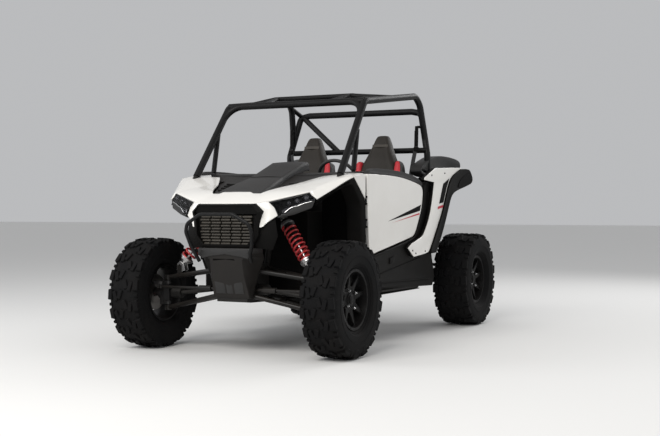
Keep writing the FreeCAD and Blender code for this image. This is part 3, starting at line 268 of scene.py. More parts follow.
# one finish: two colours to mottle, the range of roughness, dust as amount and lift, and grain in the normal
# as pattern, scale and depth; the rest are values of the shader
def addFinish(name, light, dark, rough, dust, grain=None, patch=6.0, **shader):
    material = bpy.data.materials.new(name)
    material.use_nodes = True
    tree = material.node_tree
    surface = tree.nodes["Principled BSDF"]
    for key, value in shader.items():
        surface.inputs[sockets[key]].default_value = value
    mottle = useGroup(tree, "mottle", {
        "Light": rgba(light), "Dark": rgba(dark), "Scale": finishSettings["tone"],
        "Rough Low": rough[0], "Rough High": rough[1],
    })
    sand = useGroup(tree, "dust", {"Amount": dust[0], "Lift": dust[1], "Patch Scale": patch})
    duller = addNode(tree, "ShaderNodeMath", {1: finishSettings["dulling"]}, operation="MULTIPLY_ADD",
                     use_clamp=True)
    wire(tree, (
        (mottle, "Color", sand, "Base"), (sand, "Color", surface, "Base Color"), (sand, "Mask", duller, 0),
        (mottle, "Rough", duller, 2), (duller, 0, surface, "Roughness"),
    ))
    if grain:
        pebble = useGroup(tree, grain[0], {"Scale": grain[1], "Depth": grain[2]})
        wire(tree, ((pebble, "Normal", surface, "Normal"),))
    finishes[name] = material


addFinish("whitePanel", (0.80, 0.785, 0.75), (0.77, 0.755, 0.72), (0.18, 0.3), (0.05, 0.02), coat=0.5,
          coatRough=0.06)
addFinish("blackPlastic", (0.0036, 0.0036, 0.0036), (0.0066, 0.0063, 0.006), (0.5, 0.66), (0.008, 0.004),
          ("grain", 700.0, 0.3), specular=0.07)
addFinish("charcoalPlastic", (0.017, 0.017, 0.0175), (0.024, 0.024, 0.024), (0.44, 0.6), (0.010, 0.012),
          ("grain", 650.0, 0.35), specular=0.3)
addFinish("cageSteel", (0.0036, 0.0037, 0.004), (0.0058, 0.006, 0.0064), (0.40, 0.52), (0.005, 0.006),
          ("grain", 1500.0, 0.1), specular=0.2)
addFinish("frameSteel", (0.0049, 0.0049, 0.0049), (0.0084, 0.00805, 0.0077), (0.4, 0.6), (0.015, 0.006),
          specular=0.25)
addFinish("armSteel", (0.0049, 0.0049, 0.0049), (0.0084, 0.00805, 0.0077), (0.3, 0.5), (0.02, 0.008),
          specular=0.3)
addFinish("shaftSteel", (0.07, 0.07, 0.07), (0.04, 0.038, 0.036), (0.35, 0.5), (0.03, 0.02), metallic=1.0)
addFinish("knuckleAlloy", (0.05, 0.05, 0.052), (0.03, 0.03, 0.03), (0.45, 0.6), (0.03, 0.02),
          ("grain", 500.0, 0.3), metallic=0.6)
addFinish("blackAlloy", (0.0044, 0.0044, 0.00495), (0.00715, 0.00715, 0.00715), (0.34, 0.48),
          (0.008, 0.004), specular=0.12)
addFinish("tyreRubber", (0.0040, 0.0043, 0.0049), (0.0066, 0.0068, 0.0073), (0.66, 0.84), (0.008, 0.004),
          ("grain", 350.0, 0.3), patch=9.0, specular=0.08)
addFinish("lampLens", (0.035, 0.037, 0.04), (0.03, 0.03, 0.032), (0.06, 0.12), (0.02, 0.0), coat=1.0)
addFinish("tailLens", (0.25, 0.006, 0.006), (0.2, 0.004, 0.004), (0.08, 0.15), (0.03, 0.0), coat=1.0)
addFinish("springRed", (0.42, 0.012, 0.018), (0.34, 0.008, 0.012), (0.22, 0.35), (0.06, 0.02), coat=0.4)
addFinish("damperAlloy", (0.55, 0.55, 0.56), (0.42, 0.42, 0.42), (0.25, 0.4), (0.12, 0.05), metallic=1.0)
addFinish("seatCover", (0.019, 0.016, 0.0125), (0.028, 0.023, 0.018), (0.5, 0.64), (0.006, 0.006),
          ("grain", 900.0, 0.45), specular=0.3)
addFinish("seatBand", (0.075, 0.066, 0.056), (0.055, 0.048, 0.040), (0.5, 0.64), (0.006, 0.006),
          ("grain", 900.0, 0.45), specular=0.3)
addFinish("seatRed", (0.62, 0.02, 0.035), (0.5, 0.015, 0.025), (0.45, 0.6), (0.03, 0.02),
          ("grain", 900.0, 0.4))
addFinish("engineCasting", (0.12, 0.12, 0.125), (0.07, 0.07, 0.07), (0.5, 0.7), (0.08, 0.05),
          ("grain", 400.0, 0.5), metallic=0.7)
addFinish("exhaustSteel", (0.32, 0.31, 0.30), (0.22, 0.19, 0.16), (0.35, 0.5), (0.1, 0.1), metallic=1.0)
addFinish("gripRubber", (0.012, 0.012, 0.012), (0.018, 0.018, 0.018), (0.5, 0.65), (0.01, 0.01),
          ("grain", 800.0, 0.5))
addFinish("lampBowl", (0.02, 0.02, 0.021), (0.03, 0.03, 0.03), (0.2, 0.35), (0.0, 0.0))
addFinish("lampMirror", (0.5, 0.5, 0.52), (0.4, 0.4, 0.42), (0.12, 0.2), (0.0, 0.0), metallic=1.0)
addFinish("lampGlass", (0.42, 0.42, 0.43), (0.40, 0.40, 0.41), (0.02, 0.05), (0.0, 0.0), clear=1.0,
          bend=1.2)
addFinish("slatPlastic", (0.034, 0.030, 0.023), (0.046, 0.040, 0.031), (0.4, 0.55), (0.02, 0.02))
addFinish("noseBlack", (0.0075, 0.0065, 0.006), (0.012, 0.0105, 0.0095), (0.42, 0.58), (0.010, 0.006),
          ("grain", 600.0, 0.3), specular=0.25)
addFinish("bootRubber", (0.010, 0.010, 0.010), (0.016, 0.0155, 0.015), (0.5, 0.65), (0.015, 0.008),
          ("grain", 500.0, 0.3), specular=0.25)
addFinish("bolsterVinyl", (0.012, 0.012, 0.012), (0.018, 0.018, 0.018), (0.42, 0.56), (0.008, 0.01),
          ("grain", 1100.0, 0.4))
addFinish("beltWebbing", (0.010, 0.010, 0.011), (0.016, 0.016, 0.017), (0.6, 0.75), (0.01, 0.01),
          ("weave", 900.0, 0.5))
addFinish("stripeRed", (0.46, 0.010, 0.030), (0.40, 0.008, 0.024), (0.32, 0.42), (0.01, 0.005),
          specular=0.25)
addFinish("stripeBlack", (0.0022, 0.0018, 0.0019), (0.0034, 0.0028, 0.0029), (0.6, 0.7), (0.006, 0.004),
          specular=0.05)
# painted shade: a black darker than the plastics, put on recesses, wheel wells, the step of the scoop and the
# ends of the flares where shade falls
addFinish("hollowBlack", (0.0016, 0.0016, 0.0016), (0.0026, 0.0026, 0.0026), (0.6, 0.75), (0.004, 0.002),
          specular=0.06)
addFinish("discSteel", (0.28, 0.27, 0.26), (0.2, 0.19, 0.18), (0.28, 0.4), (0.05, 0.03), metallic=1.0)
addFinish("brightSteel", (0.6, 0.6, 0.61), (0.5, 0.5, 0.5), (0.16, 0.28), (0.05, 0.02), metallic=1.0)

# a node that a piece replaces has a finish too, so that it still fits if its piece is left out
nodeFinishes = {
    "frameSteel": ("chassis_frame",),
    "blackPlastic": ("skid_plate", "floor_tub", "grille", "rockers", "cargo_bed"),
    # the wheel arch liners are black plastic, darkened further as painted shade in the wheel wells
    "hollowBlack": ("wheel_arches",),
    "cageSteel": ("roll_cage_front", "roll_cage_rear", "front_bumper"),
    "charcoalPlastic": ("nose_plate", "hood_panel", "dashboard", "rear_flares", "shoulder_intakes",
                        "door_trim_left", "door_trim_right"),
    "whitePanel": ("front_fascia", "front_fenders", "rear_quarters", "door_panel_left", "door_panel_right"),
    "lampLens": ("headlights",),
    "seatCover": ("seat_left", "seat_right"),
    "engineCasting": ("engine_block",),
    "exhaustSteel": ("exhaust",),
    "tailLens": ("tail_lights",),
    "armSteel": ("front_arms", "rear_arms", "tie_rods"),
    "springRed": ("coil_springs",),
    "damperAlloy": ("dampers",),
    "bootRubber": ("half_shafts",),
    "gripRubber": ("steering_wheel",),
    "knuckleAlloy": ("knuckle_left", "knuckle_right"),
    "tyreRubber": ("tyre_front_left", "tyre_front_right", "tyre_rear_left", "tyre_rear_right"),
    "blackAlloy": ("rim_front_left", "rim_front_right", "rim_rear_left", "rim_rear_right"),
}
for finish, names in nodeFinishes.items():
    for name in names:
        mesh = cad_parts[name].data
        mesh.materials.clear()
        mesh.materials.append(finishes[finish])
print("finishes on", sum(len(names) for names in nodeFinishes.values()), "nodes")


# a finished mesh as a piece that rides on one body; sharp is the angle past which an edge stays crisp
def finishPiece(name, bm, finish, stands=(), body="chassis", sharp=35):
    for face in bm.faces:
        face.smooth = True
    limit = math.radians(sharp)
    for edge in bm.edges:
        if len(edge.link_faces) == 2 and edge.calc_face_angle(0) > limit:
            edge.smooth = False
    mesh = bpy.data.meshes.new(name)
    bm.to_mesh(mesh)
    bm.free()
    for kind in [finish] if isinstance(finish, str) else finish:
        mesh.materials.append(finishes[kind])
    piece = bpy.data.objects.new(name, mesh)
    bpy.context.scene.collection.objects.link(piece)
    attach(piece, body)
    if stands:
        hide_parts(*stands)
    return piece


# a closed ring swept round the x axis from points given as (x, radius)
def spinRing(bm, profile, steps):
    points = [bm.verts.new((x, 0, radius)) for x, radius in profile]
    edges = [bm.edges.new((a, b)) for a, b in zip(points, points[1:] + points[:1])]
    bmesh.ops.spin(bm, geom=points + edges, cent=(0, 0, 0), axis=(1, 0, 0), dvec=(0, 0, 0),
                   angle=2 * math.pi, steps=steps, use_merge=True, use_duplicate=False)


# adds a copy of a small mesh in a new place
def addCopy(bm, mesh, matrix):
    first = len(bm.verts)
    bm.from_mesh(mesh)
    bm.verts.ensure_lookup_table()
    bmesh.ops.transform(bm, matrix=matrix, verts=bm.verts[first:])


def asMesh(bm, name):
    mesh = bpy.data.meshes.new(name)
    bm.to_mesh(mesh)
    bm.free()
    return mesh


# a block of a given size whose top is smaller than its foot, with its upper edges bevelled
def softBlock(size, taper, bevel):
    bm = bmesh.new()
    bmesh.ops.create_cube(bm, size=1)
    top = [v for v in bm.verts if v.co.z > 0]
    bmesh.ops.scale(bm, vec=(taper[0], taper[1], 1), verts=top)
    bmesh.ops.scale(bm, vec=size, verts=bm.verts)
    edges = [e for e in bm.edges if any(v.co.z > 0 for v in e.verts)]
    bmesh.ops.bevel(bm, geom=edges, offset=bevel, offset_type="OFFSET", affect="EDGES",
                    segments=1, profile=0.5, material=-1)
    return bm


tyreSettings = {
    "radius": 0.362,
    "pitches": 17,            # lugs in one row round a tyre
    "lug": 0.47,              # share of a pitch that a lug takes
    "steps": 102,
    "frontWidth": 0.235,
    "rearWidth": 0.285,
    "frontRim": 0.178,
    "rearRim": 0.203,
    # share of the half width and radius, from the bead's shoulder to the middle of the tread
    "carcass": ((0.93, 0.222), (0.975, 0.250), (0.985, 0.272), (0.972, 0.300), (0.945, 0.322), (0.89, 0.337),
                (0.80, 0.3435), (0.6, 0.3475), (0.3, 0.3495), (0, 0.350)),
    "carcassWall": 0.012,
    "beadInset": 0.0095,          # from the rim's edge in to the bead
    "bead": ((0, 0.1785), (0.001, 0.1895), (0.006, 0.196)),
    "beadRadius": 0.186,
    "ribDepth": 0.010,
    "ribSlope": 0.003,
    "blockTall": 0.026,
    "biterTall": 0.013,
    # length along the radius and place on it of the blocks on the shoulder, a long and a short one
    "biters": ((0.044, 0.318), (0.030, 0.325)),
    "biterPlace": (0.952, -0.0058, 1.36),        # share of the half width, shift and tilt
    # share of the half width, size across, share of a pitch along, shift along, skew, drop and tilt
    "blocks": (
        (0.165, 0.26, 0.50, -0.03, 0.34, 0.0000, 0.00),
        (0.47, 0.26, 0.52, 0.06, -0.26, 0.0006, 0.03),
        (0.80, 0.33, 0.55, 0.00, 0.07, 0.0040, 0.20),
        (0.82, 0.24, 0.16, 0.50, 0.00, 0.0095, 0.20),
    ),
}


def buildTyre(name, body, centre, width, rimWidth, side):
    half = width / 2
    bead = rimWidth / 2 - tyreSettings["beadInset"]
    outer = [(bead + x, r) for x, r in tyreSettings["bead"]]
    outer += [(half * share, r) for share, r in tyreSettings["carcass"]]
    inner = [(x * 0.9, max(r - tyreSettings["carcassWall"], tyreSettings["beadRadius"]))
             for x, r in reversed(outer[2:])]
    right = outer + [(-x, r) for x, r in reversed(outer[:-1])]
    profile = right + [(-x, r) for x, r in reversed(inner)] + inner[1:]
    bm = bmesh.new()
    spinRing(bm, profile, tyreSettings["steps"])
    # raised ribs round each sidewall: one over the rim's edge, one under the lugs
    for hand in (-1, 1):
        for low, high, out in ((0.204, 0.219, bead + 0.0195), (0.262, 0.268, half * 0.985 + 0.0012)):
            foot, slope = out - tyreSettings["ribDepth"], tyreSettings["ribSlope"]
            rib = ((foot, low), (out, low + slope), (out, high - slope), (foot, high))
            spinRing(bm, [(hand * x, r) for x, r in rib], tyreSettings["steps"])
    bmesh.ops.recalc_face_normals(bm, faces=bm.faces)
    pitch = 2 * math.pi / tyreSettings["pitches"]
    long = tyreSettings["radius"] * pitch
    top = tyreSettings["radius"] * math.cos(pitch * tyreSettings["lug"] / 2)
    lugs = []
    for place, wide, along, shift, skew, drop, tilt in tyreSettings["blocks"]:
        tall = tyreSettings["blockTall"]
        mesh = asMesh(softBlock((half * wide, long * along, tall), (0.88, 0.88), 0.0028), "lug")
        lugs.append((mesh, place * half, shift, skew, top - tall / 2 - drop, tilt))
    biters = []
    for reach, height in tyreSettings["biters"]:
        size = (reach, long * 0.42, tyreSettings["biterTall"])
        biters.append((asMesh(softBlock(size, (0.8, 0.8), 0.003), "biter"), height))
    share, inset, lean = tyreSettings["biterPlace"]
    for number in range(tyreSettings["pitches"]):
        for hand in (-1, 1):
            middle = pitch * (number + (0 if hand < 0 else 0.5) + tyreSettings["lug"] / 2) + math.pi
            spots = [(mesh, x, middle + shift * pitch, skew, height, tilt)
                     for mesh, x, shift, skew, height, tilt in lugs]
            mesh, height = biters[number % 2]
            spots.append((mesh, half * share + inset, middle, 0, height, lean))
            for mesh, x, angle, skew, height, tilt in spots:
                turn = Matrix.Rotation(angle, 4, "X") @ Matrix.Translation((hand * x, 0, height))
                turn = turn @ Matrix.Rotation(hand * tilt, 4, "Y") @ Matrix.Rotation(hand * skew, 4, "Z")
                addCopy(bm, mesh, turn)
    if side < 0:
        bmesh.ops.scale(bm, vec=(-1, 1, 1), verts=bm.verts)
        bmesh.ops.reverse_faces(bm, faces=bm.faces)
    bmesh.ops.translate(bm, vec=centre, verts=bm.verts)
    finishPiece(name, bm, "tyreRubber", ("tyre_" + name[6:],), body, 30)


wheelPlaces = {
    "front_left": ((0.6955, -1.143, 0.362), "frontWidth", "frontRim"),
    "front_right": ((-0.6955, -1.143, 0.362), "frontWidth", "frontRim"),
    "rear_left": ((0.6705, 1.143, 0.362), "rearWidth", "rearRim"),
    "rear_right": ((-0.6705, 1.143, 0.362), "rearWidth", "rearRim"),
}
for corner, (place, width, rimWidth) in wheelPlaces.items():
    buildTyre("tread_" + corner, "wheel_" + corner, Vector(place), tyreSettings[width],
              tyreSettings[rimWidth], place[0])
print("tyres with their lugs")


def mm(x, y, z):
    return Vector((x, y, z)) / 1000


# a sheet of quads through rows of points in millimetres, made by moving a grid's corners
def sheetOf(rows, into=None):
    bm = into or bmesh.new()
    if not bm.verts.layers.float.get("crease_vert"):
        bm.verts.layers.float.new("crease_vert")
    wide, tall = len(rows[0]), len(rows)
    made = bmesh.ops.create_grid(bm, x_segments=wide - 1, y_segments=tall - 1, size=1)["verts"]
    made.sort(key=lambda v: (round(v.co.y, 4), round(v.co.x, 4)))
    for vert, point in zip(made, (p for row in rows for p in row)):
        vert.co = mm(*point)
    return bm, [made[r * wide:(r + 1) * wide] for r in range(tall)]


def turnUp(bm, towards):
    bmesh.ops.recalc_face_normals(bm, faces=bm.faces)
    if sum(f.normal.dot(Vector(towards)) * f.calc_area() for f in bm.faces) < 0:
        bmesh.ops.reverse_faces(bm, faces=bm.faces)


def creaseLine(bm, verts, amount):
    layer = bm.edges.layers.float.get("crease_edge") or bm.edges.layers.float.new("crease_edge")
    for a, b in zip(verts, verts[1:]):
        edge = bm.edges.get((a, b))
        if edge:
            edge[layer] = amount


def creaseCorners(bm, verts):
    layer = bm.verts.layers.float["crease_vert"]
    for vert in verts:
        vert[layer] = 1.0


def bothSides(bm):
    bmesh.ops.mirror(bm, geom=bm.verts[:] + bm.edges[:] + bm.faces[:], matrix=Matrix.Identity(4),
                     merge_dist=0.0004, axis="X")


# the same, with every face of a closed piece turned outwards
def pairUp(bm):
    bothSides(bm)
    bmesh.ops.recalc_face_normals(bm, faces=bm.faces)


# a piece on the chassis with two like halves, of which bm holds the left one
def finishPair(name, bm, finish, stands=(), sharp=35):
    pairUp(bm)
    return finishPiece(name, bm, finish, stands, sharp=sharp)


# the four corners of an upright plate at one depth
def frontPlate(left, right, low, high, y):
    return (left, y, low), (right, y, low), (right, y, high), (left, y, high)


# the four corners of a level plate at one height
def levelPlate(left, right, front, back, z):
    return (left, front, z), (right, front, z), (right, back, z), (left, back, z)


# a plate from its outline: the outline is a face, pushed by a vector and bevelled all round
def plateOf(outline, push, bevel=0.0, segments=2, into=None):
    bm = into or bmesh.new()
    verts = [bm.verts.new(mm(*p)) for p in outline]
    face = bm.faces.new(verts)
    made = bmesh.ops.extrude_face_region(bm, geom=[face], use_keep_orig=True)["geom"]
    moved = [g for g in made if isinstance(g, bmesh.types.BMVert)]
    bmesh.ops.translate(bm, vec=Vector(push) / 1000, verts=moved)
    faces = list(dict.fromkeys(f for v in verts + moved for f in v.link_faces))
    bmesh.ops.recalc_face_normals(bm, faces=faces)
    if bevel:
        edges = list(dict.fromkeys(e for f in faces for e in f.edges))
        bmesh.ops.bevel(bm, geom=edges, offset=bevel, offset_type="OFFSET", affect="EDGES", segments=segments,
                        profile=0.5, material=-1, clamp_overlap=True)
    return bm


# a straight round bar between two points in metres
def rodBetween(bm, start, end, radius, segments=16, endRadius=None):
    along = Vector(end) - Vector(start)
    turn = along.to_track_quat("Z", "Y").to_matrix().to_4x4()
    matrix = Matrix.Translation((Vector(start) + Vector(end)) / 2) @ turn
    return bmesh.ops.create_cone(bm, cap_ends=True, segments=segments, radius1=radius,
                                 radius2=radius if endRadius is None else endRadius, depth=along.length,
                                 matrix=matrix)["verts"]


# live modifiers, in the order that a panel needs them
def shapeUp(piece, subdivide=0, wall=0.0, bevel=0.0, angle=35, offset=-1.0):
    if subdivide:
        step = piece.modifiers.new("smooth", "SUBSURF")
        step.levels = step.render_levels = subdivide
    if wall:
        step = piece.modifiers.new("wall", "SOLIDIFY")
        step.thickness = wall
        step.offset = offset
        step.use_even_offset = True
    if bevel:
        step = piece.modifiers.new("edge", "BEVEL")
        step.width = bevel
        step.segments = 2
        step.limit_method = "ANGLE"
        step.angle_limit = math.radians(angle)
    return piece


# an outline with its corners cut round; a corner given with a third value stays sharp
def rounded(points, times=2):
    line = [(Vector(p[:2]), len(p) > 2) for p in points]
    for _ in range(times):
        fresh = []
        for (a, sharpA), (b, sharpB) in zip(line, line[1:] + line[:1]):
            fresh.append((a, True) if sharpA else (a.lerp(b, 0.25), False))
            if not sharpB:
                fresh.append((a.lerp(b, 0.75), False))
        line = fresh
    return [tuple(p) for p, _ in line]


# a flat panel in the side view, pushed inward from its outer face; its face can be raised in one step
def sideBoard(bm, outline, x, thick, bevel, segments=2, step=None):
    first = len(bm.verts)
    face = bm.faces.new([bm.verts.new(mm(x, y, z)) for y, z in outline])
    made = bmesh.ops.extrude_face_region(bm, geom=[face], use_keep_orig=True)["geom"]
    moved = [g for g in made if isinstance(g, bmesh.types.BMVert)]
    bmesh.ops.translate(bm, vec=(-thick / 1000, 0, 0), verts=moved)
    bm.verts.ensure_lookup_table()
    faces = list(dict.fromkeys(f for v in bm.verts[first:] for f in v.link_faces))
    bmesh.ops.recalc_face_normals(bm, faces=faces)
    if step:
        for inset, depth in ((step[0], 0), step[1:]):
            bmesh.ops.inset_region(bm, faces=[face], thickness=inset / 1000, depth=depth / 1000,
                                   use_even_offset=True)
    if bevel:
        bm.verts.ensure_lookup_table()
        edges = list(dict.fromkeys(e for v in bm.verts[first:] for e in v.link_edges
                                   if len(e.link_faces) == 2 and e.calc_face_angle(0) > 1.0))
        bmesh.ops.bevel(bm, geom=edges, offset=bevel / 1000, offset_type="OFFSET", affect="EDGES",
                        segments=segments, profile=0.5, material=-1, clamp_overlap=True)


# closed rings of points joined one after another, with their two ends closed
def loftRings(bm, rings):
    loops = []
    for ring in rings:
        verts = [bm.verts.new(mm(*p)) for p in ring]
        loops.append((verts, [bm.edges.new(pair) for pair in zip(verts, verts[1:] + verts[:1])]))
    for (_, near), (_, far) in zip(loops, loops[1:]):
        bmesh.ops.bridge_loops(bm, edges=near + far)
    for verts, _ in (loops[0], loops[-1]):
        bm.faces.new(verts)
    faces = list(dict.fromkeys(f for verts, _ in loops for v in verts for f in v.link_faces))
    bmesh.ops.recalc_face_normals(bm, faces=faces)
    return loops


# a flat strap along a line of points in millimetres
def strapAlong(bm, points, width, thick, across=(0, 1, 0)):
    rings = []
    for number, point in enumerate(points):
        before = Vector(points[max(number - 1, 0)])
        after = Vector(points[min(number + 1, len(points) - 1)])
        along = (after - before).normalized()
        side = (Vector(across) - along * Vector(across).dot(along)).normalized() * width / 2
        up = along.cross(side).normalized() * thick / 2
        point = Vector(point)
        rings.append([tuple(point + a) for a in (side + up, side - up, -side - up, -side + up)])
    loftRings(bm, rings)


shellSettings = {
    "wall": 0.007,
    # inner edge, middle, top crease and lower edge, from the centre of the nose back to the door
    "rows": (
        ((0, -1233, 1022), (0, -1300, 990), (0, -1368, 950), (0, -1362, 937)),
        ((99, -1235, 1021), (99, -1300, 989), (110, -1363, 949), (110, -1357, 936)),
        ((126, -1240, 1011), (140, -1297, 986), (165, -1357, 948), (165, -1351, 935)),
        ((174, -1235, 1011), (192, -1288, 988), (206, -1349, 948), (205, -1343, 935)),
        ((191, -1220, 1020), (228, -1272, 1000), (272, -1312, 962), (270, -1304, 948)),
        ((228, -1150, 1043), (292, -1205, 1028), (385, -1251, 992), (383, -1243, 978)),
        ((280, -1020, 1069), (365, -1090, 1058), (492, -1187, 1019), (489, -1179, 1005)),
        ((290, -995, 1074), (376, -1070, 1064), (504, -1178, 1022), (541, -1180, 974)),
        ((332, -915, 1096), (430, -1000, 1090), (545, -1075, 1062), (590, -1060, 1034)),
        ((372, -845, 1117), (470, -900, 1118), (585, -960, 1104), (618, -965, 1084)),
        ((398, -802, 1129), (500, -830, 1134), (612, -860, 1136), (651, -885, 1124)),
        ((470, -790, 1134), (545, -790, 1141), (622, -800, 1141), (657, -815, 1130)),
        ((520, -722, 1150), (570, -722, 1149), (630, -722, 1146), (659, -722, 1137)),
    ),
    "cheek": ((651, -885, 1123), (656, -818, 1062), (658, -724, 980), (658, -721, 1138), (657, -815, 1131)),
    "fang": (
        ((204, -1348, 948), (253, -1334, 897), (221, -1350, 845), (238, -1362, 799), (251, -1358, 802),
         (276, -1330, 834), (329, -1300, 872), (309, -1300, 922), (273, -1309, 958)),
        (2, 12, 0),
    ),
}


def buildFrontShell():
    bm, rows = sheetOf(shellSettings["rows"])
    creaseLine(bm, [row[2] for row in rows], 0.85)
    for column in (0, 3):
        creaseLine(bm, [row[column] for row in rows], 1.0)
    for number in (0, 6, 7, -1):
        creaseLine(bm, rows[number], 1.0)
    creaseCorners(bm, [rows[n][0] for n in (1, 2, 3, 4, 10, 11, 12)])
    creaseCorners(bm, [rows[n][column] for n in (3, 6, 7, 12) for column in (2, 3)])
    bothSides(bm)
    turnUp(bm, (0, -0.7, 0.7))
    piece = finishPiece("frontShell", bm, "whitePanel",
                        ("front_fascia", "front_fenders"), sharp=180)
    shapeUp(piece, 2, shellSettings["wall"], 0.0018)
    bm = plateOf(*shellSettings["fang"], bevel=0.004, segments=2)
    plateOf(shellSettings["cheek"], (-6, 0, 0), 0.0015, 1, bm)
    finishPair("frontFangs", bm, "whitePanel", sharp=40)


buildFrontShell()
print("white front shell")

# black lips that edge the front wheel openings, from the lamps back and down the front of the doors
archSettings = {
    "rows": (
        ((540, -1181, 971), (526, -1168, 946), (470, -1150, 940)),
        ((587, -1061, 1031), (574, -1048, 1004), (500, -1040, 995)),
        ((615, -966, 1081), (602, -950, 1050), (520, -950, 1040)),
        ((648, -886, 1119), (634, -876, 1084), (540, -880, 1074)),
        ((654, -819, 1058), (640, -836, 1030), (540, -836, 1030)),
        ((659, -742, 985), (644, -774, 962), (540, -774, 962)),
        ((661, -726, 950), (645, -758, 930), (540, -758, 930)),
        ((661, -724, 800), (645, -756, 790), (540, -756, 790)),
        ((661, -722, 700), (645, -750, 690), (540, -750, 690)),
        ((661, -718, 602), (645, -744, 600), (540, -744, 600)),
    ),
}


def buildArchLips():
    bm, rows = sheetOf(archSettings["rows"])
    for column, amount in ((1, 0.7), (0, 0.9)):
        creaseLine(bm, [row[column] for row in rows], amount)
    bothSides(bm)
    turnUp(bm, (0, -1, -0.2))
    piece = finishPiece("archLips", bm, "blackPlastic", sharp=180)
    shapeUp(piece, 2, 0.004, 0.001)


buildArchLips()

hoodSettings = {
    # x of the shoulder, y and z at the shoulder, then z at the centre
    "plate": ((160, -1238, 1009, 1013), (152, -1120, 1048, 1053), (130, -970, 1094, 1099),
              (119, -878, 1119, 1123), (116, -862, 1126, 1130), (119, -562, 1232, 1238),
              (118, -500, 1236, 1241)),
    "floor": (
        ((0, -1226, 1003), (90, -1226, 1003), (178, -1224, 1002)),
        ((0, -1150, 1018), (110, -1150, 1016), (225, -1146, 1024)),
        ((0, -1000, 1050), (140, -1000, 1046), (286, -1000, 1052)),
        ((0, -810, 1110), (190, -812, 1098), (385, -812, 1106)),
        ((0, -716, 1140), (235, -716, 1135), (468, -716, 1144)),
        ((0, -640, 1155), (280, -640, 1156), (566, -640, 1162)),
        ((0, -560, 1158), (280, -560, 1160), (572, -560, 1164)),
        ((0, -500, 1156), (280, -500, 1158), (560, -500, 1160)),
    ),
    # points and radius of the painted shadow line along the step of the scoop
    "stepShade": ((0, -869, 1127), (62, -869, 1125.4), (114, -869, 1122.4)),
    "stepShadeRadius": 0.0017,
    "vents": 4,
    "ventReach": 190,            # from the first vent to the last
}


def buildHood():
    bm, rows = sheetOf(hoodSettings["floor"])
    creaseLine(bm, rows[5], 0.6)
    creaseLine(bm, [row[1] for row in rows], 0.4)
    bothSides(bm)
    turnUp(bm, (0, 0, 1))
    piece = finishPiece("hoodFloor", bm, "noseBlack", ("hood_panel",), sharp=180)
    shapeUp(piece, 2, 0.006, 0.0015)
    rows = []
    for x, y, z, middle in hoodSettings["plate"]:
        rows.append(((0, y, middle), (x * 0.6, y, (z + middle) / 2), (x, y, z), (x + 10, y + 4, z - 14),
                     (x + 16, y + 6, z - 60)))
    bm, made = sheetOf(rows)
    for column, amount in ((2, 0.95), (3, 0.8), (4, 1.0)):
        creaseLine(bm, [row[column] for row in made], amount)
    creaseCorners(bm, [made[n][column] for n in (0, -1, -2) for column in (2, 3, 4)])
    for number, amount in ((3, 0.9), (4, 0.5), (0, 1.0), (-1, 1.0), (-2, 0.7)):
        creaseLine(bm, made[number], amount)
    bothSides(bm)
    turnUp(bm, (0, -0.3, 0.9))
    piece = finishPiece("hoodScoop", bm, "charcoalPlastic", sharp=180)
    shapeUp(piece, 2, 0.005, 0.0015)
    # painted shadow: a thin dark line across the step of the scoop, where the step casts its shade
    bm = bmesh.new()
    stepShade = [mm(*p) for p in hoodSettings["stepShade"]]
    for start, end in zip(stepShade, stepShade[1:]):
        rodBetween(bm, start, end, hoodSettings["stepShadeRadius"], 8)
    finishPair("hoodStepShade", bm, "hollowBlack")
    # narrow ribs and vents in the channels each side of the scoop
    bm = bmesh.new()
    for number in range(hoodSettings["vents"]):
        share = number / (hoodSettings["vents"] - 1)
        y = -1120 + hoodSettings["ventReach"] * share
        rise, near, far = 42 * share, 176 + 30 * share, 214 + 52 * share
        plateOf(((near, y, 1026 + rise), (far, y, 1030 + rise), (far + 2, y + 16, 1034 + rise),
                 (near, y + 16, 1030 + rise)), (0, 0, 9), 0.0015, 1, bm)
    bothSides(bm)
    finishPiece("hoodVents", bm, "blackPlastic")


buildHood()
print("front shell and hood")

lampSettings = {
    "inward": (-20, 38, 0),       # from the front of the bowl to its back, which is smaller by a share
    "backShare": 0.86,
    "lens": ((272, -1308, 956), (380, -1248, 986), (492, -1186, 1015), (524, -1176, 969), (456, -1215, 947),
             (405, -1250, 923), (385, -1262, 891), (332, -1294, 868), (309, -1299, 920)),
    "trim": ((526, -1176, 967), (510, -1190, 919), (413, -1240, 878), (327, -1292, 858), (332, -1296, 869),
             (385, -1264, 891), (405, -1252, 923), (456, -1217, 947)),
    "eyes": ((470, -1186, 984, 15), (420, -1214, 964, 12), (376, -1236, 948, 10)),
    "line": ((371, 891), (396, 916), (412, 925), (441, 933), (470, 947), (513, 961)),
    "lineRadius": 0.0022,
    "facing": (0.47, -0.88, 0),
    "mirror": ((392, -1236, 900), (408, -1228, 930), (352, -1262, 915), (345, -1266, 884)),
    "strip": ((400, -1240, 926), (456, -1204, 951), (520, -1168, 973), (520, -1168, 978), (456, -1204, 957),
              (398, -1241, 932)),
}


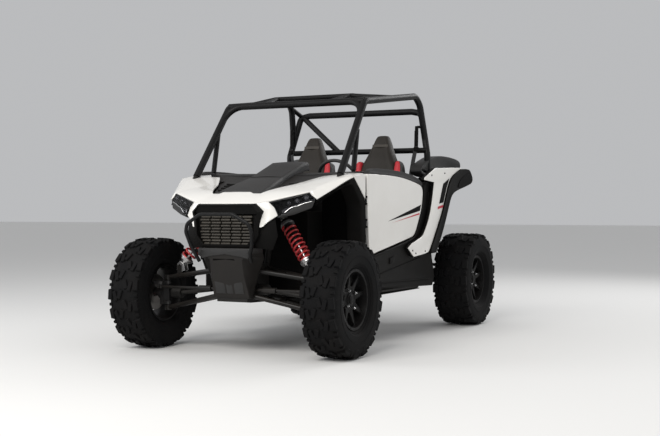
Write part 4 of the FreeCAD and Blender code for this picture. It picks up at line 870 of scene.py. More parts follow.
def buildHeadlights():
    inward = Vector(lampSettings["inward"])
    lens = [Vector(p) for p in lampSettings["lens"]]
    # the dark bowl: the outline pushed back, with its front left open
    bm = bmesh.new()
    rim = [bm.verts.new(p / 1000) for p in lens]
    middle = sum(lens, Vector()) / len(lens)
    back = [bm.verts.new((middle + (p - middle) * lampSettings["backShare"] + inward) / 1000) for p in lens]
    edges = [bm.edges.new(pair) for ring in (rim, back) for pair in zip(ring, ring[1:] + ring[:1])]
    bmesh.ops.bridge_loops(bm, edges=edges)
    bm.faces.new(back)
    pairUp(bm)
    bmesh.ops.reverse_faces(bm, faces=bm.faces)
    piece = finishPiece("lampBowls", bm, "lampBowl", ("headlights",))
    shapeUp(piece, 0, 0.003, 0, offset=1.0)
    bm = plateOf([p + Vector((2, -3, 0)) for p in lens], Vector((1.5, -2.5, 0)), 0.0008, 1)
    finishPair("lampCovers", bm, "lampGlass")
    bm = plateOf(lampSettings["trim"], (-22, 30, 0), 0.003, 2)
    plateOf([Vector(p) + Vector((4, -7, 0)) for p in lampSettings["trim"]], (-4, 8, 0), 0.0025, 2, bm)
    finishPair("lampTrims", bm, "charcoalPlastic")
    # thin bright line along the face of each trim
    bm = bmesh.new()
    trim = lampSettings["trim"]
    slope = (trim[0][1] - trim[5][1]) / (trim[0][0] - trim[5][0])
    line = [mm(x, trim[5][1] + (x - trim[5][0]) * slope - 9, z) for x, z in lampSettings["line"]]
    for start, end in zip(line, line[1:]):
        rodBetween(bm, start, end, lampSettings["lineRadius"], 8)
    finishPair("lampLines", bm, "brightSteel")
    # round reflectors, a folded mirror and a light strip inside
    bm = bmesh.new()
    facing = Vector(lampSettings["facing"]).normalized()
    for x, y, z, radius in lampSettings["eyes"]:
        place = mm(x, y, z)
        radius /= 1000
        rodBetween(bm, place, place + facing * 0.012, radius, 24, radius * 1.15)
        rodBetween(bm, place + facing * 0.012, place + facing * 0.020, radius * 0.55, 20, radius * 0.5)
    plateOf(lampSettings["mirror"], (6, -10, 0), 0.002, 1, bm)
    plateOf(lampSettings["strip"], (5, -10, 0), 0.001, 1, bm)
    finishPair("lampMirrors", bm, "lampMirror")


buildHeadlights()

grilleSettings = {
    "rows": 10, "columns": 4, "low": 0.700, "pitch": 0.0185, "step": 0.075,
    "frame": ((206, 945), (252, 897), (240, 850), (232, 750), (178, 672)),
    "hole": ((196, 934), (232, 893), (214, 850), (206, 752), (160, 694)),
    "back": -1340, "front": -1378,
    "slatGap": 0.004, "zigzag": 0.004, "slatTilt": 0.22,
    "reach": (0.160, 0.046, 4),              # half width of the lowest row, growth and rows that it takes
    "slat": (0.015, 0.0088),                 # depth and height
    "visor": ((-200, 6, 938), (200, 6, 938), (232, 14, 897), (214, 22, 880), (-214, 22, 880),
              (-232, 14, 897)),
    "core": ((-222, 900), (222, 900), (212, 745), (160, 690), (-160, 690), (-212, 745)),
}


def buildGrille():
    front, back = grilleSettings["front"], grilleSettings["back"]
    bm = bmesh.new()
    loops = []
    for name, y in (("frame", back), ("frame", front + 14), ("hole", front), ("hole", back)):
        half = grilleSettings[name]
        points = half + tuple((-x, z) for x, z in reversed(half))
        loops.append([bm.verts.new(mm(x, y, z)) for x, z in points])
    for near, far in zip(loops, loops[1:] + loops[:1]):
        edges = [bm.edges.get(pair) or bm.edges.new(pair)
                 for ring in (near, far) for pair in zip(ring, ring[1:] + ring[:1])]
        bmesh.ops.bridge_loops(bm, edges=edges)
    bmesh.ops.recalc_face_normals(bm, faces=bm.faces)
    piece = finishPiece("grilleFrame", bm, "blackPlastic", ("grille",))
    shapeUp(piece, bevel=0.003)
    # level slats in columns, each row set aside so that the gaps between columns run in a zigzag
    bm, bars = bmesh.new(), bmesh.new()
    step, pitch = grilleSettings["step"], grilleSettings["pitch"]
    face = front / 1000 + 0.018
    narrow, growth, rows = grilleSettings["reach"]
    for row in range(grilleSettings["rows"]):
        z = grilleSettings["low"] + row * pitch
        reach = narrow + growth * min(1.0, row / rows)
        aside = grilleSettings["zigzag"] * (1 if row % 2 else -1)
        for column in range(grilleSettings["columns"] + 1):
            x = (column - grilleSettings["columns"] / 2) * step
            left = max(x - step / 2 + grilleSettings["slatGap"] + aside, -reach)
            right = min(x + step / 2 - grilleSettings["slatGap"] + aside, reach)
            if right - left > 0.01:
                slat = softBlock((right - left, *grilleSettings["slat"]), (0.97, 0.86), 0.0014)
                addCopy(bm, asMesh(slat, "slat"), Matrix.Translation(((left + right) / 2, face, z))
                        @ Matrix.Rotation(grilleSettings["slatTilt"], 4, "X"))
    for column in range(grilleSettings["columns"]):
        x = 1000 * (column - grilleSettings["columns"] / 2 + 0.5) * step
        plateOf(frontPlate(x - 4, x + 4, 690, 880, front + 26), (0, 8, 0), 0, 1, bars)
    finishPiece("grilleSlats", bm, "slatPlastic")
    finishPiece("grilleBars", bars, "blackPlastic")
    # sloping visor over the slats and the dark core behind them
    visor = [(x, front + out, z) for x, out, z in grilleSettings["visor"]]
    bm = plateOf(visor, (0, 10, 0), 0.002, 1)
    plateOf([(x, back - 4, z) for x, z in grilleSettings["core"]], (0, 4, 0), 0, 1, bm)
    finishPiece("grilleVisor", bm, "blackPlastic")


buildGrille()
print("lamps and grille")

noseSettings = {
    # height, then half width and depth at the middle, the front crease and the end of the side
    "rows": (
        (671, (0, -1383), (186, -1383), (226, -1300)),
        (634, (0, -1384), (190, -1384), (226, -1296)),
        (626, (0, -1376), (168, -1376), (224, -1286)),
        (600, (0, -1371), (116, -1370), (222, -1276)),
        (498, (0, -1349), (118, -1348), (176, -1270)),
        (377, (0, -1306), (128, -1304), (142, -1269)),
        (352, (0, -1294), (128, -1292), (138, -1269)),
    ),
    "ledge": ((-193, -1384, 668), (193, -1384, 668), (196, -1384, 628), (162, -1384, 606), (118, -1384, 618),
              (0, -1384, 633), (-118, -1384, 618), (-162, -1384, 606), (-196, -1384, 628)),
    # left, right, low and high of each raised panel under the ledge
    "panels": ((-105, -34, 384, 494), (-25, 20, 384, 494), (33, 98, 384, 494)),
    # outline of the painted shade where the recess lies in the face of the nose
    "recessShade": ((-92, 604), (62, 604), (84, 560), (74, 508), (-84, 508), (-100, 560)),
    "bolts": ((-170, 650), (170, 650), (-88, 540), (88, 540), (-66, 400), (66, 400)),
    "innerWall": (
        ((230, -1342, 862), (262, -1316, 864), (304, -1286, 868)),
        ((230, -1342, 812), (268, -1322, 812), (318, -1296, 822)),
        ((222, -1342, 750), (276, -1330, 748), (332, -1300, 744)),
        ((172, -1342, 676), (236, -1326, 668), (296, -1296, 660)),
    ),
    "slope": ((352, -1293), (634, -1380)),       # height and depth of the face, low and high
}


def noseDepth(z):
    low, high = noseSettings["slope"]
    return low[1] + (high[1] - low[1]) * (z - low[0]) / (high[0] - low[0])


def buildNose():
    bm, _ = sheetOf([[(x, y, z) for x, y in points] for z, *points in noseSettings["rows"]])
    turnUp(bm, (0, -1, 0))
    bothSides(bm)
    turnUp(bm, (0, -1, 0))
    piece = finishPiece("noseShell", bm, "noseBlack", ("nose_plate",), sharp=20)
    shapeUp(piece, 0, 0.005, 0.002, angle=14)
    bm = plateOf(noseSettings["ledge"], (0, 12, 0), 0.003, 2)
    for left, right, low, high in noseSettings["panels"]:
        near, far = noseDepth(low) - 8, noseDepth(high) - 8
        plateOf(((left, near, low), (right, near, low), (right, far, high), (left, far, high)), (0, 14, 0),
                0.003, 2, bm)
    finishPiece("noseLedge", bm, "charcoalPlastic")
    # painted shade: a very dark plate on the face of the nose where the recess lies in shade
    bm = plateOf([(x, noseDepth(z) - 1.5, z) for x, z in noseSettings["recessShade"]], (0, 3, 0), 0.001, 1)
    finishPiece("noseRecessShade", bm, "hollowBlack")
    bm = bmesh.new()
    for x, z in noseSettings["bolts"]:
        y = noseDepth(z) if z < 600 else -1383
        rodBetween(bm, mm(x, y + 6, z), mm(x, y - 5, z), 0.007, 6)
    finishPiece("noseBolts", bm, "shaftSteel")
    # dark inner wall between the grille and the wheel wells
    bm, _ = sheetOf(noseSettings["innerWall"])
    bothSides(bm)
    turnUp(bm, (0, -1, 0))
    piece = finishPiece("innerWalls", bm, "blackPlastic")
    shapeUp(piece, 0, 0.004, 0.001)


buildNose()
print("nose plate and inner walls")

springSettings = {
    "wire": 0.0068, "coil": 0.0405, "turns": 8, "steps": 20,
    # lower and upper eye, then where the coil starts and ends along that line
    "lines": (
        ("front", (0.480, -1.143, 0.545), (0.222, -1.050, 0.880), 0.135, 0.785),
        ("rear", (0.452, 0.870, 0.462), (0.450, 0.690, 0.8685), 0.17, 0.83),
    ),
    # radius and half length of the eyes and their bolts
    "eye": (0.0165, 0.0165),
    "eyeBolt": (0.0075, 0.026),
    "fork": ((452, 560), (438, 515), (470, 497), (502, 512), (500, 556), (478, 574)),
    "forkPlaces": (-1167, -1125),
}


def buildSprings():
    bm, metal, dark = bmesh.new(), bmesh.new(), bmesh.new()
    gauge, turns = springSettings["wire"], springSettings["turns"]
    for name, low, high, first, last in springSettings["lines"]:
        low, high = Vector(low), Vector(high)
        start = low.lerp(high, first)
        rise = (high - low).length * (last - first)
        steps = turns * springSettings["steps"]
        coil = bmesh.new()
        bmesh.ops.create_circle(coil, cap_ends=False, segments=10, radius=gauge,
                                matrix=Matrix.Translation((springSettings["coil"], 0, gauge))
                                @ Matrix.Rotation(math.pi / 2, 4, "X"))
        bmesh.ops.spin(coil, geom=coil.verts[:] + coil.edges[:], cent=(0, 0, 0), axis=(0, 0, 1),
                       dvec=(0, 0, (rise - 2 * gauge) / steps), angle=2 * math.pi * turns,
                       steps=steps, use_merge=False, use_duplicate=False)
        bmesh.ops.holes_fill(coil, edges=[e for e in coil.edges if e.is_boundary], sides=12)
        bmesh.ops.recalc_face_normals(coil, faces=coil.faces)
        turn = (high - low).to_track_quat("Z", "Y").to_matrix().to_4x4()
        addCopy(bm, asMesh(coil, "coil"), Matrix.Translation(start) @ turn)
        axis = (high - low).normalized()
        whole = (high - low).length

        def at(share):
            return low + axis * whole * share

        # spring seats, body, chromed rod, collars and end eyes
        for share, radius in ((first - 0.035, 0.040), (first - 0.012, 0.046)):
            rodBetween(metal, at(share), at(share + 0.024), radius, 32)
        rodBetween(metal, at(last), at(last + 0.03), 0.046, 32)
        rodBetween(metal, at(last + 0.03), at(last + 0.055), 0.038, 32)
        rodBetween(metal, at(0.06), at(first), 0.026, 24, 0.034)
        rodBetween(metal, at(0), at(0.5), 0.0085, 20)
        rodBetween(dark, at(0.42), at(last + 0.10), 0.0285, 28)
        rodBetween(dark, at(0.60), at(0.62), 0.0335, 28)
        rodBetween(metal, at(last + 0.09), at(0.985), 0.024, 24)
        for share in (0, 1):
            for into, key, sides in ((metal, "eye", 28), (dark, "eyeBolt", 6)):
                radius, reach = springSettings[key]
                reach = Vector((0, reach, 0))
                rodBetween(into, at(share) - reach, at(share) + reach, radius, sides)
        # forked bracket under the lower eye of a front damper
        if name == "front":
            for y in springSettings["forkPlaces"]:
                plateOf([(x, y, z) for x, z in springSettings["fork"]], (0, 6, 0), 0.0015, 1, metal)
    for made in (bm, metal, dark):
        pairUp(made)
    finishPiece("springCoils", bm, "springRed", ("coil_springs",), sharp=60)
    ends = finishPiece("damperEnds", metal, "damperAlloy", ("dampers",))
    bodies = finishPiece("damperBodies", dark, "blackAlloy")
    for piece in (ends, bodies):
        shapeUp(piece, bevel=0.0012)


buildSprings()
print("springs and dampers")

sideSettings = {
    # outlines in the side view as y and z; a corner with a third value stays sharp
    "door": ((-696, 1141, 1), (-500, 1145), (-291, 1142), (-100, 1133), (60, 1115), (190, 1096), (258, 1080),
             (281, 1040), (272, 985), (251, 913), (200, 835), (141, 755), (100, 724), (60, 713),
             (-657, 611, 1), (-691, 987)),
    "doorTrim": ((-690, 1144, 1), (-500, 1147), (-291, 1144), (-100, 1135), (60, 1117), (195, 1098),
                 (262, 1080), (266, 1102), (200, 1132), (51, 1158), (-100, 1172), (-291, 1180), (-500, 1182),
                 (-640, 1178)),
    "card": ((-664, 1114), (-291, 1118), (60, 1092), (180, 1074), (238, 1060), (257, 1034), (249, 985),
             (229, 918), (183, 846), (127, 774), (56, 736), (-632, 652), (-668, 987)),
    "pocket": ((-560, 720), (-120, 775), (-100, 830), (-150, 860), (-540, 812), (-580, 770)),
    "pull": ((-330, 1012), (-110, 1008), (-96, 1030), (-120, 1052), (-320, 1056), (-344, 1034)),
    "wedge": ((-368, 829), (239, 946), (215, 901)),
    "line": ((-285, 820), (205, 886), (209, 875)),
    "quarter": ((-79, 640, 1), (28, 577, 1), (286, 594), (330, 614), (440, 735), (559, 868), (615, 948),
                (690, 1075), (769, 1160), (930, 1212), (1040, 1240, 1), (447, 1217, 1), (241, 1143, 1),
                (233, 1125, 1), (428, 1112, 1), (385, 960), (325, 842), (243, 755), (195, 716), (-5, 672, 1)),
    "insert": ((606, 1104), (734, 1148), (676, 1078), (606, 964), (521, 955)),
    "stripe": ((500, 933), (601, 946), (594, 927), (488, 913)),
    "flare": ((352, 590, 1), (448, 594, 1), (545, 700), (634, 813), (705, 920), (769, 1017), (868, 1056),
              (1090, 1092), (1281, 1131), (1205, 1226), (1110, 1233), (1000, 1228), (930, 1208), (775, 1156),
              (697, 1070), (622, 944), (566, 864), (447, 731), (337, 610)),
    "guard": ((430, 360), (640, 392), (700, 470), (640, 560), (560, 640), (470, 640), (430, 560)),
    # outline of the painted shade inside the open end of each rear flare
    "hollow": ((900, 1092), (1015, 1167), (1216, 1206), (1256, 1152), (1150, 1106), (960, 1072)),
    "intake": ((352, 1196), (430, 1250), (640, 1310), (760, 1324), (1000, 1321), (1198, 1302), (1234, 1262),
               (1180, 1152, 1), (620, 1152), (430, 1160)),
    "rocker": ((-525, 384, 1), (473, 348, 1), (520, 420), (430, 640), (470, 760), (520, 860), (480, 1000),
               (440, 1108), (300, 1116), (298, 1024), (268, 908), (156, 742), (84, 699), (-655, 597, 1)),
    "top": ((560, 1212), (890, 1240), (1030, 1228), (1030, 1205), (890, 1214), (560, 1190)),
    "ribs": (((-560, 470), (240, 560), (240, 566), (-560, 476)),
             ((-520, 420), (420, 400), (420, 406), (-520, 426)),
             ((-330, 540), (-250, 550), (-245, 590), (-325, 579)),
             ((350, 640), (410, 640), (440, 1040), (370, 1040))),
    "bolts": ((371, 1162), (0, 622), (60, 600), (240, 610), (640, 1185)),
    "hinges": (652, -704, (820, 970), 15, 0.006),   # x and y, heights, half length and radius
    # outline, outer face, thickness and bevel of the boards that make the inside of a door
    "inside": (("card", 629, 7, 2), ("pocket", 623, 8, 3), ("pull", 623, 14, 4)),
    "stripes": (("wedge", "doorWedge_", "stripeBlack", "black_plastic"),
                ("line", "doorLine_", "stripeRed", "spring_red")),
    "stripeFace": (660.2, 1.2),
    # piece, outline, outer face, thickness, bevel, segments, step in the face, finish, slot, nodes, rounding
    "panels": (
        ("quarterPanels", "quarter", 691, 7, 3, 3, None, "whitePanel", "white_panel", ("rear_quarters",), 2),
        ("quarterBacks", "quarter", 684.5, 24, 4, 2, None, "blackPlastic", "black_plastic", (), 2),
        ("quarterInserts", "insert", 693.6, 2, 0.6, 1, None, "stripeBlack", "black_plastic", (), 0),
        # the inner guards are real black guards; their very dark finish is painted shade, as they sit in the
        # shade of the wheel opening
        ("innerGuards", "guard", 566, 5, 1, 1, None, "hollowBlack", "black_plastic", (), 2),
        # painted shade: a very dark plate in the open end of each flare, where its hollow lies in shade
        ("flareHollowShades", "hollow", 699.6, 6, 1, 1, None, "hollowBlack", "charcoal_plastic", (), 2),
        ("quarterStripes", "stripe", 693.2, 1.2, 0, 1, None, "stripeRed", "spring_red", (), 0),
        ("rearArches", "flare", 699, 59, 12, 4, (12, 12, -4), "blackPlastic", "charcoal_plastic",
         ("rear_flares",), 2),
        ("shoulderPods", "intake", 605, 86, 14, 4, (16, 8, -5), "charcoalPlastic", "charcoal_plastic",
         ("shoulder_intakes",), 2),
        ("sillPanels", "rocker", 657, 37, 6, 3, (14, 6, -3), "blackPlastic", "black_plastic",
         ("rockers",), 2),
    ),
}


def buildDoors():
    for side, name in ((1, "left"), (-1, "right")):
        turn = Matrix.Diagonal((side, 1, 1, 1))

        def place(bm):
            bmesh.ops.transform(bm, matrix=turn, verts=bm.verts)
            bmesh.ops.recalc_face_normals(bm, faces=bm.faces)
            return bm

        body = "door_" + name
        bm = bmesh.new()
        sideBoard(bm, rounded(sideSettings["door"]), 658.5, 31, 5, 3, (16, 9, 1.2))
        finishPiece("doorSkin_" + name, place(bm), "whitePanel", ("door_panel_" + name,), body)
        bm = bmesh.new()
        sideBoard(bm, rounded(sideSettings["doorTrim"]), 659, 32, 6, 3, (8, 4, -1.5))
        x, y, heights, half, radius = sideSettings["hinges"]
        for z in heights:
            rodBetween(bm, mm(x, y, z - half), mm(x, y, z + half), radius, 20)
        finishPiece("doorTrim_" + name, place(bm), "charcoalPlastic",
                    ("door_trim_" + name,), body)
        for key, label, finish, slot in sideSettings["stripes"]:
            bm = bmesh.new()
            sideBoard(bm, sideSettings[key], *sideSettings["stripeFace"], 0)
            finishPiece(label + name, place(bm), finish, (), body)
        # inner card with a pocket and a pull
        bm = bmesh.new()
        for key, x, thick, bevel in sideSettings["inside"]:
            sideBoard(bm, rounded(sideSettings[key]), x, thick, bevel)
        finishPiece("doorCard_" + name, place(bm), "blackPlastic", (), body)


def buildSidePanels():
    for name, key, x, thick, bevel, segments, step, finish, slot, stands, smooth in sideSettings["panels"]:
        bm = bmesh.new()
        sideBoard(bm, rounded(sideSettings[key], smooth), x, thick, bevel, segments, step)
        finishPair(name, bm, finish, stands)
    # bolts at the panel corners, ribs on the sills and a white top strip under the pods
    bm = bmesh.new()
    for y, z in sideSettings["bolts"]:
        rodBetween(bm, mm(691, y, z), mm(694.6, y, z), 0.0065, 12, 0.005)
    finishPair("quarterBolts", bm, "stripeBlack")
    bm = bmesh.new()
    for outline in sideSettings["ribs"]:
        sideBoard(bm, outline, 660.5, 5, 1.5)
    finishPair("sillRibs", bm, "blackPlastic")
    bm = bmesh.new()
    sideBoard(bm, rounded(sideSettings["top"]), 672, 60, 4)
    finishPair("quarterTops", bm, "whitePanel")


buildDoors()
buildSidePanels()
print("doors and side panels")

rimSettings = {
    "spokes": 8, "nuts": 4, "studs": 16, "nutCircle": 0.066, "steps": 72,
    "dish": 0.034,                # from the rim's edge in to the face of the spokes
    "turn": 0.2,
    # side of the rim (-1, 0 or 1), distance from that side's edge, and radius
    "barrel": ((-1, 0.001, 0.188), (-1, 0.001, 0.176), (-1, 0.010, 0.172), (0, -0.020, 0.160),
               (1, -0.050, 0.160), (1, -0.016, 0.168), (1, -0.0015, 0.171), (1, -0.0005, 0.176),
               (1, -0.0015, 0.1875), (1, -0.0065, 0.1885), (1, -0.009, 0.184), (1, -0.010, 0.1785),
               (1, -0.040, 0.176), (0, 0.0, 0.172), (-1, 0.014, 0.1775), (-1, 0.009, 0.188)),
    # from the face of the spokes, and radius
    "hub": ((-0.040, 0.028), (-0.040, 0.060), (-0.022, 0.080), (-0.006, 0.082), (-0.003, 0.078),
            (-0.006, 0.056), (-0.004, 0.044), (0.004, 0.040), (0.004, 0.028)),
    "cap": ((-0.006, 0.001), (-0.006, 0.0285), (0.008, 0.0285), (0.012, 0.024), (0.013, 0.001)),
    # a spoke's outline and the two ridges along its face
    "spoke": ((-4, -22, 62), (-4, 22, 62), (12, 12, 166), (12, -12, 166)),
    "ridges": (((-2, -17, 74), (-2, -12, 74), (15, -8, 160), (15, -11, 160)),
               ((-2, 12, 74), (-2, 17, 74), (15, 11, 160), (15, 8, 160))),
    "disc": ((-0.008, 0.070), (-0.008, 0.118), (-0.003, 0.118), (-0.003, 0.070)),
    "bell": ((-0.008, 0.030), (-0.008, 0.074), (0.006, 0.060), (0.006, 0.030)),
}


# one wheel seen from outside: the dished face looks toward +x
def buildRim(name, body, centre, width, side):
    half = width / 2
    face = half - rimSettings["dish"]
    bm = bmesh.new()
    spinRing(bm, [(edge * half + x, r) for edge, x, r in rimSettings["barrel"]], rimSettings["steps"])
    bmesh.ops.recalc_face_normals(bm, faces=bm.faces)
    # tapered spokes with two ridges down the face, then the hub and its cap
    spoke = plateOf([(1000 * face + x, y, z) for x, y, z in rimSettings["spoke"]], (-18, 0, 0), 0.004, 2)
    for outline in rimSettings["ridges"]:
        plateOf([(1000 * face + x, y, z) for x, y, z in outline], (-6, 0, 0), 0.001, 1, spoke)
    spoke = asMesh(spoke, "spoke")
    for number in range(rimSettings["spokes"]):
        angle = 2 * math.pi * number / rimSettings["spokes"] + rimSettings["turn"]
        addCopy(bm, spoke, Matrix.Rotation(angle, 4, "X"))
    for key, steps in (("hub", rimSettings["steps"]), ("cap", 40)):
        spinRing(bm, [(face + x, r) for x, r in rimSettings[key]], steps)
    stud = asMesh(softBlock((0.010, 0.008, 0.004), (0.8, 0.8), 0.001), "stud")
    for number in range(rimSettings["studs"]):
        addCopy(bm, stud, Matrix.Rotation(2 * math.pi * number / rimSettings["studs"], 4, "X")
                @ Matrix.Translation((half - 0.0005, 0, 0.1815)) @ Matrix.Rotation(math.pi / 2, 4, "Y")
                @ Matrix.Scale(0.7, 4))
    nuts = bmesh.new()
    for number in range(rimSettings["nuts"]):
        angle = 2 * math.pi * (number + 0.5) / rimSettings["nuts"] + rimSettings["turn"]
        spot = Vector((0, math.sin(angle), math.cos(angle))) * rimSettings["nutCircle"]
        foot, top, tip = (spot + Vector((face + x, 0, 0)) for x in (-0.004, 0.010, 0.018))
        rodBetween(nuts, foot, top, 0.0095, 6)
        rodBetween(nuts, top, tip, 0.0075, 16, 0.005)
    disc = bmesh.new()
    for key, steps in (("disc", 64), ("bell", 40)):
        spinRing(disc, rimSettings[key], steps)
    for made, label, finish, slot, stands in (
            (bm, "wheel_", "blackAlloy", "black_alloy", ("rim_" + name,)),
            (nuts, "wheelNuts_", "brightSteel", "damper_alloy", ()),
            (disc, "brakeDisc_", "discSteel", "shaft_steel", ())):
        bmesh.ops.transform(made, matrix=Matrix.Translation(centre) @ Matrix.Diagonal((side, 1, 1, 1)),
                            verts=made.verts)
        bmesh.ops.recalc_face_normals(made, faces=made.faces)
        finishPiece(label + name, made, finish, stands, body, 40)


for corner, (place, width, rimWidth) in wheelPlaces.items():
    buildRim(corner, "wheel_" + corner, Vector(place), tyreSettings[rimWidth], 1 if place[0] > 0 else -1)
print("wheels")

seatSettings = {
    "centre": 288,
    "band": ((1386, 62, 22), (1188, 118, 5)),     # height, half length and width of each sewn band
    # height, half width, front and back of the padded shell
    "back": ((1466, 38, 398, 428), (1450, 50, 372, 446), (1392, 72, 350, 452), (1323, 101, 322, 440),
             (1258, 136, 300, 425), (1205, 160, 290, 408), (1120, 168, 272, 390), (980, 168, 245, 360),
             (840, 164, 215, 330), (720, 158, 192, 305), (672, 150, 190, 290)),
    # height, inner and outer edge, front and back of the side bolsters
    "wing": ((1272, 138, 170, 304, 352), (1250, 128, 188, 296, 392), (1190, 128, 196, 278, 396),
             (1070, 136, 210, 224, 370), (920, 138, 216, 172, 340), (790, 138, 210, 150, 316),
             (715, 140, 196, 160, 290)),
    "redAbove": 1.165,            # height from which the bolsters' fronts are red
    # distance along the cushion, its half width, its underside and its top
    "base": ((-232, 150, 640, 690), (-214, 182, 612, 722), (-150, 196, 580, 738), (0, 200, 566, 730),
             (120, 196, 566, 712), (205, 184, 570, 700)),
}


def ringAt(half, front, back, z, dish):
    deep = back - front
    shape = ((0, front), (0.45, front - dish * 0.1), (0.8, front - dish * 0.5), (1.0, front + deep * 0.30),
             (1.0, front + deep * 0.72), (0.78, back), (0.4, back))
    right = [(x * half, y, z) for x, y in shape]
    left = [(-x, y, z) for x, y, z in reversed(right[1:])]
    return right + [(0, back, z)] + left


def buildSeat(name, side):
    middle = seatSettings["centre"] * side
    shift = Matrix.Translation((middle / 1000, 0, 0))
    bm = bmesh.new()
    loops = loftRings(bm, [ringAt(half, front, back, z, 14) for z, half, front, back in seatSettings["back"]])
    for number, amount in ((2, 0.55), (4, 0.25)):
        ring = loops[number][0]
        creaseLine(bm, ring + ring[:1], amount)
    rings = []
    for y, half, low, high in seatSettings["base"]:
        shape = ((0, high), (0.5, high + 2), (0.78, high + 14), (1.0, high - 12), (1.0, low + 20),
                 (0.85, low))
        right = [(x * half, y, z) for x, z in shape]
        rings.append(right + [(0, y, low)] + [(-x, y, z) for x, y, z in reversed(right[1:])])
    loftRings(bm, rings)
    bmesh.ops.transform(bm, matrix=shift, verts=bm.verts)
    piece = finishPiece("seatPad_" + name, bm, "seatCover", ("seat_" + name,), sharp=180)
    shapeUp(piece, 2)
    bm = bmesh.new()
    for turn in (1, -1):
        rings = []
        for z, near, far, front, back in seatSettings["wing"]:
            ring = ((near, front + 26), (near + 8, front + 4), ((near + far) / 2, front - 6),
                    (far - 6, front + 6), (far, front + 40), (far - 2, back - 16), (far - 14, back),
                    (near, back))
            rings.append([(x * turn, y, z) for x, y in ring])
        loftRings(bm, rings)
    bmesh.ops.transform(bm, matrix=shift, verts=bm.verts)
    for face in bm.faces:
        spot = face.calc_center_median()
        if spot.z > seatSettings["redAbove"] and face.normal.y < -0.2:
            face.material_index = 1
    piece = finishPiece("seatWings_" + name, bm, ("bolsterVinyl", "seatRed"), sharp=180)
    shapeUp(piece, 2)
    # sewn bands across the headrest and the shoulders
    bm = bmesh.new()
    for z, half, wide in seatSettings["band"]:
        front = 341 - 0.17 * (1392 - z)
        points = [(middle + half * share, front + 8 * abs(share), z) for share in (-1, -0.5, 0, 0.5, 1)]
        strapAlong(bm, points, wide, 9, (0, 0.2, 1))
    piece = finishPiece("seatBand_" + name, bm, "seatBand")
    shapeUp(piece, bevel=0.002)


for name, side in (("left", 1), ("right", -1)):
    buildSeat(name, side)

beltSettings = {
    "guide": ((532, 470, 1535), (530, 466, 1385)),
    "guideWide": 26,
    "strap": ((530, 470, 1500), (529, 466, 1385), (512, 452, 1280), (500, 440, 1190), (498, 420, 1060)),
    "width": 30,
    "thick": 2,
    "across": (1, 0.3, 0),
    "box": ((532, 462, 1378), (531, 460, 1346)),
    # start, end and radius of the stays that hold the guide to the cage
    "stays": (((532, 480, 1528), (552, 540, 1532), 0.010), ((531, 470, 1350), (560, 545, 1350), 0.009)),
}


def buildBelts():
    bm = bmesh.new()
    across = beltSettings["across"]
    strapAlong(bm, beltSettings["strap"], beltSettings["width"], beltSettings["thick"], across)
    finishPair("beltStraps", bm, "beltWebbing")
    bm = bmesh.new()
    top, low = (Vector(p) for p in beltSettings["guide"])
    strapAlong(bm, [tuple(top), tuple(top.lerp(low, 0.5)), tuple(low)], beltSettings["guideWide"], 13, across)
    strapAlong(bm, beltSettings["box"], 38, 22, across)
    for start, end, radius in beltSettings["stays"]:
        rodBetween(bm, mm(*start), mm(*end), radius)
    piece = finishPair("beltGuides", bm, "blackPlastic")
    shapeUp(piece, bevel=0.005)


buildBelts()
print("seats and belts")

steeringSettings = {
    "centre": (300, -390.4, 1126),
    "tilt": 32,
    "ring": 0.140,
    "grip": 0.012,
    "hub": 0.043,
    "spokes": (0, 90, 180),
    "spoke": ((30, -20, -14), (30, 20, -14), (90, 13, -8), (135, 18, -3), (135, -18, -3), (90, -13, -8)),
    "folds": 6,
    "fold": 0.013,
    "column": (-0.170, -0.10, 0.016),        # low end, high end and radius
}


def buildSteeringWheel():
    bm, trim = bmesh.new(), bmesh.new()
    bmesh.ops.create_circle(bm, cap_ends=False, segments=14, radius=steeringSettings["grip"],
                            matrix=Matrix.Translation((steeringSettings["ring"], 0, 0))
                            @ Matrix.Rotation(math.pi / 2, 4, "X"))
    bmesh.ops.spin(bm, geom=bm.verts[:] + bm.edges[:], cent=(0, 0, 0), axis=(0, 0, 1), dvec=(0, 0, 0),
                   angle=2 * math.pi, steps=64, use_merge=True, use_duplicate=False)
    bmesh.ops.recalc_face_normals(bm, faces=bm.faces)
    for angle in steeringSettings["spokes"]:
        spoke = plateOf(steeringSettings["spoke"], (0, 0, 7), 0.002, 2)
        addCopy(trim, asMesh(spoke, "spoke"), Matrix.Rotation(math.radians(angle), 4, "Z"))
    hub = steeringSettings["hub"]
    rodBetween(trim, (0, 0, -0.030), (0, 0, 0.004), hub, 32, hub * 0.92)
    rodBetween(trim, (0, 0, 0.003), (0, 0, 0.010), hub * 0.84, 32, hub * 0.66)
    # column sleeve with its rubber folds, down to the dashboard
    fold = steeringSettings["fold"]
    for number in range(steeringSettings["folds"]):
        top, narrower = -0.030 - number * fold, 0.0015 * number
        rodBetween(trim, (0, 0, top - fold), (0, 0, top), 0.030 - narrower, 28, 0.025 - narrower)
    low, high, radius = steeringSettings["column"]
    rodBetween(trim, (0, 0, low), (0, 0, high), radius, 24)
    lean = math.radians(steeringSettings["tilt"] - 90)
    turn = Matrix.Translation(mm(*steeringSettings["centre"])) @ Matrix.Rotation(lean, 4, "X")
    for made, name, finish, slot, stands in (
            (bm, "steeringGrip", "gripRubber", "grip_rubber", ("steering_wheel",)),
            (trim, "steeringHub", "blackPlastic", "black_plastic", ())):
        bmesh.ops.transform(made, matrix=turn, verts=made.verts)
        bmesh.ops.recalc_face_normals(made, faces=made.faces)
        finishPiece(name, made, finish, stands, "steering_wheel", 40)


buildSteeringWheel()
print("steering wheel")

# the bend at each front corner of the roof runs from a point down the pillar to one along the top bar
cornerSettings = {
    "corner": (530, -461, 1641),
    "down": (535, -557, 1521),
    "across": (402, -461, 1641),
    "steps": 8,
    "radius": 0.0228,
}


